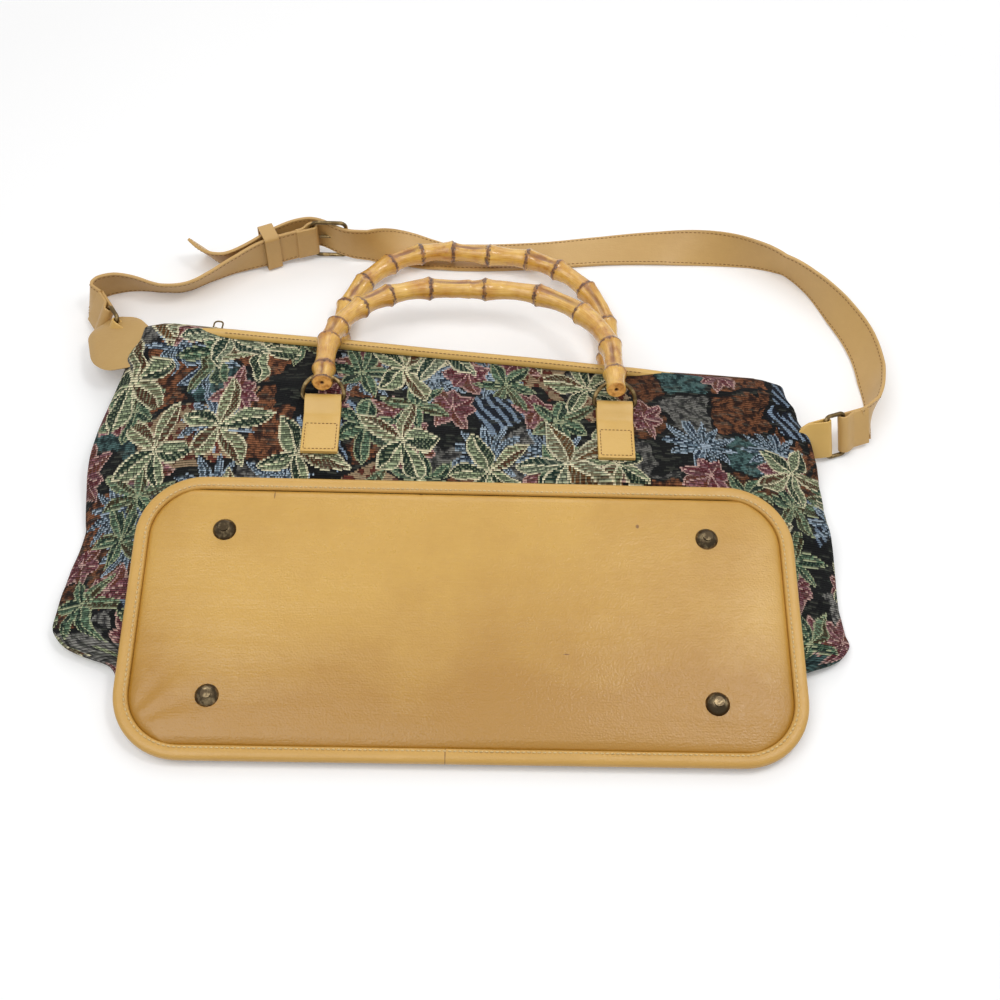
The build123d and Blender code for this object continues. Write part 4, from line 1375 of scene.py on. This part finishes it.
@dataclass
class ZipEdge:
    """Zip along the far edge: stitched bands, tapes, teeth, slider and pull."""

    half: float = 0.246
    shift: float = -0.006
    top: float = 0.038
    bottom: float = 0.010
    band: float = 0.0072
    leather: float = 0.0018
    drop: float = 0.006
    seen: tuple[float, float] = (-0.222, 0.165)
    teeth_half: float = 0.222
    tooth_step: float = 0.0028

    def rise(self, x: float) -> float:
        """Rise of the band's top at a place along the zip; it dips at both ends."""
        end = min(x - self.seen[0], self.seen[1] - x) / (self.seen[1] - self.seen[0]) * 8.0
        return noise.noise(Vector((x * 16.0, 3.3, 0.0))) * 0.0008 - 0.0035 * max(0.0, 1.0 - end) ** 2

    def build(self, nodes: dict[str, bpy.types.Object]) -> None:
        """Model the front band and the teeth, and dress the rest.

        Args:
            nodes: Nodes of the frame.
        """
        profile = [
            (-self.band, -0.0008), (-self.band, 0.0014), (-self.band + 0.0008, 0.0022), (-0.73 * self.band, 0.0036),
            (-0.5 * self.band, 0.0042), (-0.27 * self.band, 0.0038), (-0.001, 0.0026), (0.0010, 0.0010), (0.0018, -0.0015), (0.0018, -self.drop),
            (0.0004, -self.drop), (0.0004, -0.0006), (-0.006, 0.0006),
        ]
        rings, along = [], []
        for index in range(81):
            x = self.seen[0] + (self.seen[1] - self.seen[0]) * index / 80.0
            rise = self.rise(x)
            rings.append([ZIP.at(x, y, self.top + z + rise * (z > 0.0005)) for y, z in profile])
            along.append(x)
        band = Bench.sweep("zip_band_front", rings, along, [k * 0.003 for k in range(len(profile))])
        Bench.smooth(band, 50)
        settle(band, Finish.TAB, Slot.STRAP, nodes=("front_zip_band",))
        seam = [x for x in along if self.seen[0] + 0.03 < x < self.seen[1] - 0.03]
        line = [ZIP.at(x, -0.76 * self.band, self.top + 0.0036 + self.rise(x)) for x in seam]
        places = [(spot, ahead, Vector((0, 0, 1))) for spot, ahead, _ in evenly(line, 0.0032)]
        settle(Bench.stitches("zip_band_stitches", places, 0.0024, 0.0008), Finish.DARK_THREAD, Slot.STRAP)
        Finish.TAB.dress(nodes["rear_zip_band"])
        Finish.TAPE.dress(nodes["front_zip_tape"], nodes["rear_zip_tape"])
        Finish.BRASS.dress(nodes["zip_slider"], nodes["zip_pull"])
        self.teeth()

    def teeth(self) -> None:
        """Model one tooth and repeat it in two rows that mesh."""
        Bench.clear()
        bpy.ops.mesh.primitive_cube_add(size=1.0)
        tooth = bpy.context.object
        Bench.modify(tooth, "BEVEL", width=0.16, segments=1)
        shape = [v.co.copy() for v in tooth.data.vertices]
        sides = [tuple(p.vertices) for p in tooth.data.polygons]
        bpy.data.objects.remove(tooth)
        middle = (self.top + self.bottom) / 2
        points, faces = [], []
        count = int(2 * self.teeth_half / self.tooth_step)
        for index in range(count):
            x = self.shift - self.teeth_half + (index + 0.5) * self.tooth_step
            for side in (-1, 1):
                first = len(points)
                shifted = x + (self.tooth_step / 2 if side > 0 else 0.0)
                for p in shape:
                    points.append(ZIP.at(shifted + p.x * 0.0015, 0.0021 + p.y * 0.0020, middle + side * 0.0011 + p.z * 0.0036))
                faces.extend(tuple(first + i for i in face) for face in sides)
        data = bpy.data.meshes.new("zip_teeth")
        data.from_pydata(points, [], faces)
        row = bpy.data.objects.new("zip_teeth", data)
        bpy.context.scene.collection.objects.link(row)
        settle(row, Finish.BRASS, Slot.METAL, nodes=("zip_chain",))


@dataclass
class Strap:
    """Shoulder strap in two lengths, with its folds, keeper and buckle."""

    width: float = 0.030
    sheet: float = 0.0024
    fold: Fold = Fold(0.030, 0.022, 0.009, 0.0023, 0.0024)
    stitch_inset: float = 0.0023
    stitch_step: float = 0.0036
    long_way: tuple[tuple[float, float, float, float], ...] = (
        (303.83, 277.71, 17.0, 60), (315.5, 296, 14.5, 95), (319, 331, 13.6, 118), (315.5, 366, 13.6, 118),
        (300.5, 399, 14.2, 110), (283.5, 427, 15.1, 88), (264, 448, 14.7, 76), (238, 459, 15.1, 95), (203, 467, 12.4, 125),
        (160, 471, 6.6, 158), (115, 470, 2.8, 174), (68, 464, 1.3, 180), (20, 459, 1.3, 180), (-25, 458, 1.3, 180),
        (-62, 461, 9.9, 144), (-87, 454, 17.0, 98), (-106, 452, 21.0, 90), (-129, 467, 21.0, 90), (-148, 464.5, 19.4, 90),
        (-166, 453.5, 18.0, 90), (-184, 443, 16.0, 76), (-203, 436, 14.0, 62), (-218, 441, 13.4, 58), (-227, 452, 13.4, 58),
    )
    short_way: tuple[tuple[float, float, float, float], ...] = (
        (-298.17, 379.10, 17.0, 120), (-307, 390, 15.2, 104), (-301, 401, 15.0, 100), (-287, 407.5, 14.6, 104),
        (-269, 408, 13.8, 113), (-249, 403, 13.0, 123), (-230, 405, 13.0, 123), (-213, 418, 13.6, 119), (-194, 430.5, 15.6, 109),
        (-168, 443.5, 18.0, 90), (-142.13, 450.40, 21.0, 90),
    )

    def spline(self, name: str, way: Sequence[tuple[float, float, float, float]]) -> list[Vector]:
        """Lay a smooth spline on the points of a route and read its line.

        Args:
            name: Name of the spline.
            way: Route points in millimetres: across, from the base's near edge, up, and roll.

        Returns:
            Points along the spline.
        """
        curve = bpy.data.curves.new(name, "CURVE")
        curve.dimensions = "3D"
        curve.resolution_u = 14
        run = curve.splines.new("NURBS")
        run.points.add(len(way) - 1)
        for point, (x, reach, height, _) in zip(run.points, way):
            point.co = (x * MM, NEAR_Y + reach * MM, height * MM, 1.0)
        run.order_u = 3
        run.use_endpoint_u = True
        holder = bpy.data.objects.new(name, curve)
        bpy.context.scene.collection.objects.link(holder)
        bpy.context.view_layer.update()
        mesh = bpy.data.meshes.new_from_object(holder)
        line = [v.co.copy() for v in mesh.vertices]
        bpy.data.objects.remove(holder)
        bpy.data.meshes.remove(mesh)
        return line

    def ribbon(
        self, name: str, way: Sequence[tuple[float, float, float, float]]
    ) -> tuple[bpy.types.Object, list[Vector], list[tuple[Vector, Vector, Vector]]]:
        """Model a ribbon along a route, with a roll at each of its points.

        Args:
            name: Name of the piece.
            way: Points of the route.

        Returns:
            The ribbon, its middle line, and direction, width and normal at each point of the line.
        """
        line = self.spline(f"{name}_line", way)
        spans = [0.0] + [index - 0.5 for index in range(1, len(way) - 1)] + [len(way) - 2.0]
        half, thick = self.width / 2, self.sheet / 2
        outline = [(-half, thick * 0.5), (-half * 0.975, thick), (-half * 0.5, thick * 1.06), (0, thick * 1.08)]
        outline += [(half * 0.5, thick * 1.06), (half * 0.975, thick), (half, thick * 0.5), (half, -thick * 0.5)]
        outline += [(half * 0.975, -thick), (half * 0.5, -thick), (0, -thick), (-half * 0.5, -thick)]
        outline += [(-half * 0.975, -thick), (-half, -thick * 0.5)]
        rings, along, frames = [], [0.0], []
        for index, point in enumerate(line):
            ahead = (line[min(index + 1, len(line) - 1)] - line[max(index - 1, 0)]).normalized()
            reach = index / (len(line) - 1) * (len(way) - 2)
            roll = math.radians(float(np.interp(reach, spans, [p[3] for p in way])))
            left = Vector((-ahead.y, ahead.x, 0)).normalized()
            across = (left * math.cos(roll) + Vector((0, 0, math.sin(roll)))).normalized()
            normal = ahead.cross(across).normalized()
            rings.append([point + across * a + normal * b for a, b in outline])
            frames.append((ahead, across, normal))
            if index:
                along.append(along[-1] + (point - line[index - 1]).length)
        piece = Bench.sweep(name, rings, along, [k * 0.003 for k in range(len(outline))])
        Bench.smooth(piece, 50)
        return piece, line, frames

    def rows(self, name: str, line: Sequence[Vector], frames: Sequence[tuple[Vector, Vector, Vector]]) -> bpy.types.Object:
        """Sew the two edges of a ribbon on both faces.

        Args:
            name: Name of the stitches.
            line: Middle line of the ribbon.
            frames: Direction, width and normal along it.

        Returns:
            The stitches.
        """
        places = []
        for edge in (-1, 1):
            for face in (-1, 1):
                off = self.width / 2 - self.stitch_inset
                run = [p + a * (edge * off) + n * (face * self.sheet * 0.53) for p, (_, a, n) in zip(line, frames)]
                for spot, ahead, share in evenly(run, self.stitch_step):
                    normal = frames[min(len(frames) - 1, int(share * (len(frames) - 1) + 0.5))][2] * face
                    places.append((spot, ahead, (normal - ahead * normal.dot(ahead)).normalized()))
        return Bench.stitches(name, places, 0.0026, 0.0008)

    def build(self, nodes: dict[str, bpy.types.Object]) -> None:
        """Model the strap in its two lengths.

        Args:
            nodes: Nodes of the frame.
        """
        metal = ("left_strap_ring", "right_strap_ring", "strap_buckle", "buckle_prong")
        Finish.BRASS.dress(*[nodes[name] for name in metal])
        keeper = nodes["strap_keeper"]
        Finish.STRAP.dress(keeper)
        made = {}
        for name, way in (("long_strap", self.long_way), ("short_strap", self.short_way)):
            ribbon, line, frames = self.ribbon(f"{name}_ribbon", way)
            settle(ribbon, Finish.STRAP, Slot.STRAP, nodes=(name,))
            row = settle(self.rows(f"{name}_stitches", line, frames), Finish.DARK_THREAD, Slot.STRAP)
            length = sum((b - a).length for a, b in zip(line, line[1:]))
            made[name] = (ribbon, line, row, length)
        seats = self.fold_seats()
        for name, (seat, length) in seats.items():
            fold = Fold(self.fold.width, length, self.fold.neck, self.fold.tunnel, self.fold.sheet)
            settle(fold.build(f"{name}_strap_fold", seat), Finish.STRAP, Slot.STRAP)
        ribbon, line, row, length = made["long_strap"]
        tuple(line[0])
        [tuple(p) for p in line]
        ribbon, line, row, length = made["short_strap"]
        tuple(line[0])
        [tuple(p) for p in line]

    def fold_seats(self) -> dict[str, tuple[Seat, float]]:
        """Seats of the folded strap ends, with the length of each fold."""
        made = {}
        for name, point, turn, side in (("left", (-0.281, 0.349), 33.0, -1), ("right", (0.272, 0.264), 70.0, 1)):
            bar = end_bar(point, turn, side).moved(0, 0.015, 0)
            back = Seat.of(bar.origin, -bar.x, bar.z)
            made[name] = (back.moved(0, 0, -(self.fold.tunnel + self.fold.sheet)), self.fold.length)
        heel = Vector((-0.132, NEAR_Y + 0.4565, 0.021))
        last = Vector((-0.168, NEAR_Y + 0.4435, 0.021))
        run = (heel - last).normalized()
        seat = Seat.of(heel, (0, 0, 1), Vector((0, 0, 1)).cross(run))
        made["buckle"] = (seat.moved(0, 0, -(self.fold.tunnel + self.fold.sheet)), 0.014)
        return made


def end_bar(point: tuple[float, float], turn: float, side: int) -> Seat:
    """Seat on the bar of an end tab's ring.

    Args:
        point: Place across and from the base's near edge.
        turn: Turn of the tab in plan, in degrees.
        side: -1 on the left and 1 on the right.

    Returns:
        Seat with X along the bar and Y outward.
    """
    out = Vector((side * math.sin(math.radians(turn)), math.cos(math.radians(turn)), 0))
    roll = -side * math.radians(60.0)
    bar = Vector((out.y * math.cos(roll), -out.x * math.cos(roll), math.sin(roll)))
    return Seat.of((point[0], NEAR_Y + point[1], 0.017), bar, bar.cross(out))


@dataclass
class EndTabs:
    """Leather patches at the far corners that hold the strap's rings."""

    left: Fold = Fold(0.030, 0.014, 0.010, 0.0023, 0.0017, 0.5)
    right: Fold = Fold(0.030, 0.034, 0.014, 0.0023, 0.0017, 0.6)
    patch: tuple[tuple[float, float, float], ...] = (
        (-0.300, 0.349, 0.0165), (-0.291, 0.318, 0.0195), (-0.277, 0.306, 0.0245), (-0.252, 0.305, 0.0330),
        (-0.243, 0.338, 0.0350), (-0.258, 0.3555, 0.0315), (-0.280, 0.3620, 0.0240),
    )
    sheet: float = 0.0016

    def corner(self) -> bpy.types.Object:
        """Model the broad leather patch that wraps the left corner.

        Returns:
            The patch.
        """
        Bench.clear()
        bpy.ops.mesh.primitive_circle_add(vertices=len(self.patch), radius=0.01, fill_type="NGON")
        piece = bpy.context.object
        piece.name = piece.data.name = "left_corner_patch"
        for vert, (x, reach, height) in zip(piece.data.vertices, self.patch):
            vert.co = (x, NEAR_Y + reach, height)
        bpy.ops.object.mode_set(mode="EDIT")
        bpy.ops.mesh.select_all(action="SELECT")
        bpy.ops.mesh.bevel(offset=0.007, segments=5, affect="VERTICES")
        bpy.ops.mesh.select_all(action="SELECT")
        bpy.ops.mesh.inset(thickness=0.0022, depth=0.0010)
        bpy.ops.mesh.inset(thickness=0.0060, depth=0.0008)
        bpy.ops.mesh.select_all(action="SELECT")
        bpy.ops.mesh.normals_make_consistent(inside=False)
        bpy.ops.object.mode_set(mode="OBJECT")
        Bench.modify(piece, "SOLIDIFY", thickness=self.sheet, offset=-1.0)
        Bench.smooth(piece, 50)
        return piece

    def build(self) -> None:
        """Model the two folded tabs and the corner patch."""
        settle(self.corner(), Finish.PATCH, Slot.STRAP)
        ends = (("left", self.left, (-0.281, 0.349), 33.0, -1), ("right", self.right, (0.272, 0.264), 70.0, 1))
        for name, fold, point, turn, side in ends:
            seat = end_bar(point, turn, side).moved(0, 0, -(fold.tunnel + fold.sheet))
            tab = fold.build(f"{name}_end_patch", seat)
            settle(tab, Finish.TAB, Slot.STRAP, nodes=(f"{name}_end_tab",))


@dataclass
class Studio:
    """Pale floor, soft light and the camera."""

    place: tuple[float, float, float] = (-0.005, -0.4901, 0.7988)
    pitch: float = 55.82
    yaw: float = 3.10
    roll: float = 3.78
    lens: float = 46.8
    sky: float = 0.40

    def lamp(self, name: str, place: tuple[float, float, float], size: float, power: float) -> None:
        """Hang one soft lamp that faces the bag.

        Args:
            name: Name of the lamp.
            place: Where it hangs.
            size: Side of its square.
            power: Its power in watts.
        """
        data = bpy.data.lights.new(name, "AREA")
        data.size, data.energy = size, power
        lamp = bpy.data.objects.new(name, data)
        lamp.location = place
        lamp.rotation_euler = (Vector((0, 0.03, 0.02)) - Vector(place)).to_track_quat("-Z", "Y").to_euler()
        bpy.context.scene.collection.objects.link(lamp)

    def build(self) -> None:
        """Set up the floor, the lamps, the world and the camera."""
        scene = bpy.context.scene
        Bench.clear()
        bpy.ops.mesh.primitive_plane_add(size=12.0, location=(0, 0, -0.0004))
        floor = bpy.context.object
        floor.name = "studio_floor"
        g = Graph("studio_floor")
        rays = g.node("ShaderNodeLightPath", {}, {})
        seen, gloss, through = (
            Val(g, rays.outputs[name]) for name in ("Is Camera Ray", "Is Glossy Ray", "Is Transmission Ray")
        )
        x, y, _ = g.parts(g.spot())
        far = (x * x + y * y).smooth(0.5, 2.2)
        level = seen.math("MAXIMUM", gloss).math("MAXIMUM", through) * 0.12 + seen * far
        glow = g.vector(level, level, level)
        finish = {"Base_Color": (0.92, 0.92, 0.92, 1.0), "Emission_Color": glow, "Emission_Strength": 1.0}
        floor.data.materials.append(g.finish(Roughness=0.95, Specular_IOR_Level=0.0, **finish))
        self.lamp("key_lamp", (-0.55, -0.35, 1.5), 1.1, 9.8)
        self.lamp("fill_lamp", (0.9, 0.2, 1.3), 1.0, 3.6)
        self.lamp("top_lamp", (0.50, 0.03, 1.35), 0.28, 3.2)
        self.lamp("far_lamp", (0.0, 1.3, 1.2), 1.0, 4.6)
        world = bpy.data.worlds.new("studio_world")
        world.use_nodes = True
        tree = world.node_tree
        sky = tree.nodes["Background"]
        sky.inputs[0].default_value = (1.0, 1.0, 1.0, 1.0)
        path = tree.nodes.new("ShaderNodeLightPath")
        either = tree.nodes.new("ShaderNodeMath")
        either.operation = "MAXIMUM"
        level = tree.nodes.new("ShaderNodeMapRange")
        level.inputs["To Min"].default_value, level.inputs["To Max"].default_value = self.sky, 1.0
        tree.links.new(path.outputs["Is Camera Ray"], either.inputs[0])
        tree.links.new(path.outputs["Is Glossy Ray"], either.inputs[1])
        tree.links.new(either.outputs[0], level.inputs["Value"])
        tree.links.new(level.outputs["Result"], sky.inputs[1])
        scene.world = world
        pitch, yaw, roll = (math.radians(v) for v in (self.pitch, self.yaw, self.roll))
        ahead = Vector((math.sin(yaw) * math.cos(pitch), math.cos(yaw) * math.cos(pitch), -math.sin(pitch)))
        right = ahead.cross(Vector((0, 0, 1))).normalized()
        up = right.cross(ahead)
        right, up = right * math.cos(roll) + up * math.sin(roll), up * math.cos(roll) - right * math.sin(roll)
        data = bpy.data.cameras.new("photo_camera")
        data.lens, data.sensor_width = self.lens, 36.0
        camera = bpy.data.objects.new("photo_camera", data)
        camera.matrix_world = Matrix(
            [[right[i], up[i], -ahead[i], self.place[i]] for i in range(3)] + [[0.0, 0.0, 0.0, 1.0]]
        )
        scene.collection.objects.link(camera)
        scene.camera = camera
        scene.view_settings.view_transform = "Standard"


def handles() -> list[BambooHandle]:
    """The two handles on their planes."""
    drop, lift = math.radians(11.72), math.radians(3.2)
    front = Seat.of((0, 0.115613, 0.061142), (1, 0, 0), (0, math.sin(drop), math.cos(drop)))
    back = ZIP.moved(0, 0.014113, 0.009034)
    rear = Seat.of(back.origin, back.x, back.z * math.cos(lift) - back.y * math.sin(lift))
    return [
        BambooHandle("front_bamboo", "front_handle", front, 1.0),
        BambooHandle(
            "rear_bamboo", "rear_handle", rear, 8.0,
            knots=(0.0, 0.06, 0.14, 0.215, 0.29, 0.36, 0.43, 0.505, 0.59, 0.66, 0.74, 0.84, 0.93),
        ),
    ]


def main() -> None:
    """Build the bag round its frame."""
    logging.basicConfig(level=logging.INFO)
    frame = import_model()
    nodes = frame["nodes"]
    Studio().build()
    Strap().build(nodes)
    Body().build()
    Base().build(nodes)
    HandleTabs().build(nodes)
    EndTabs().build()
    ZipEdge().build(nodes)
    for handle in handles():
        handle.build()


if __name__ == "__main__":
    main()
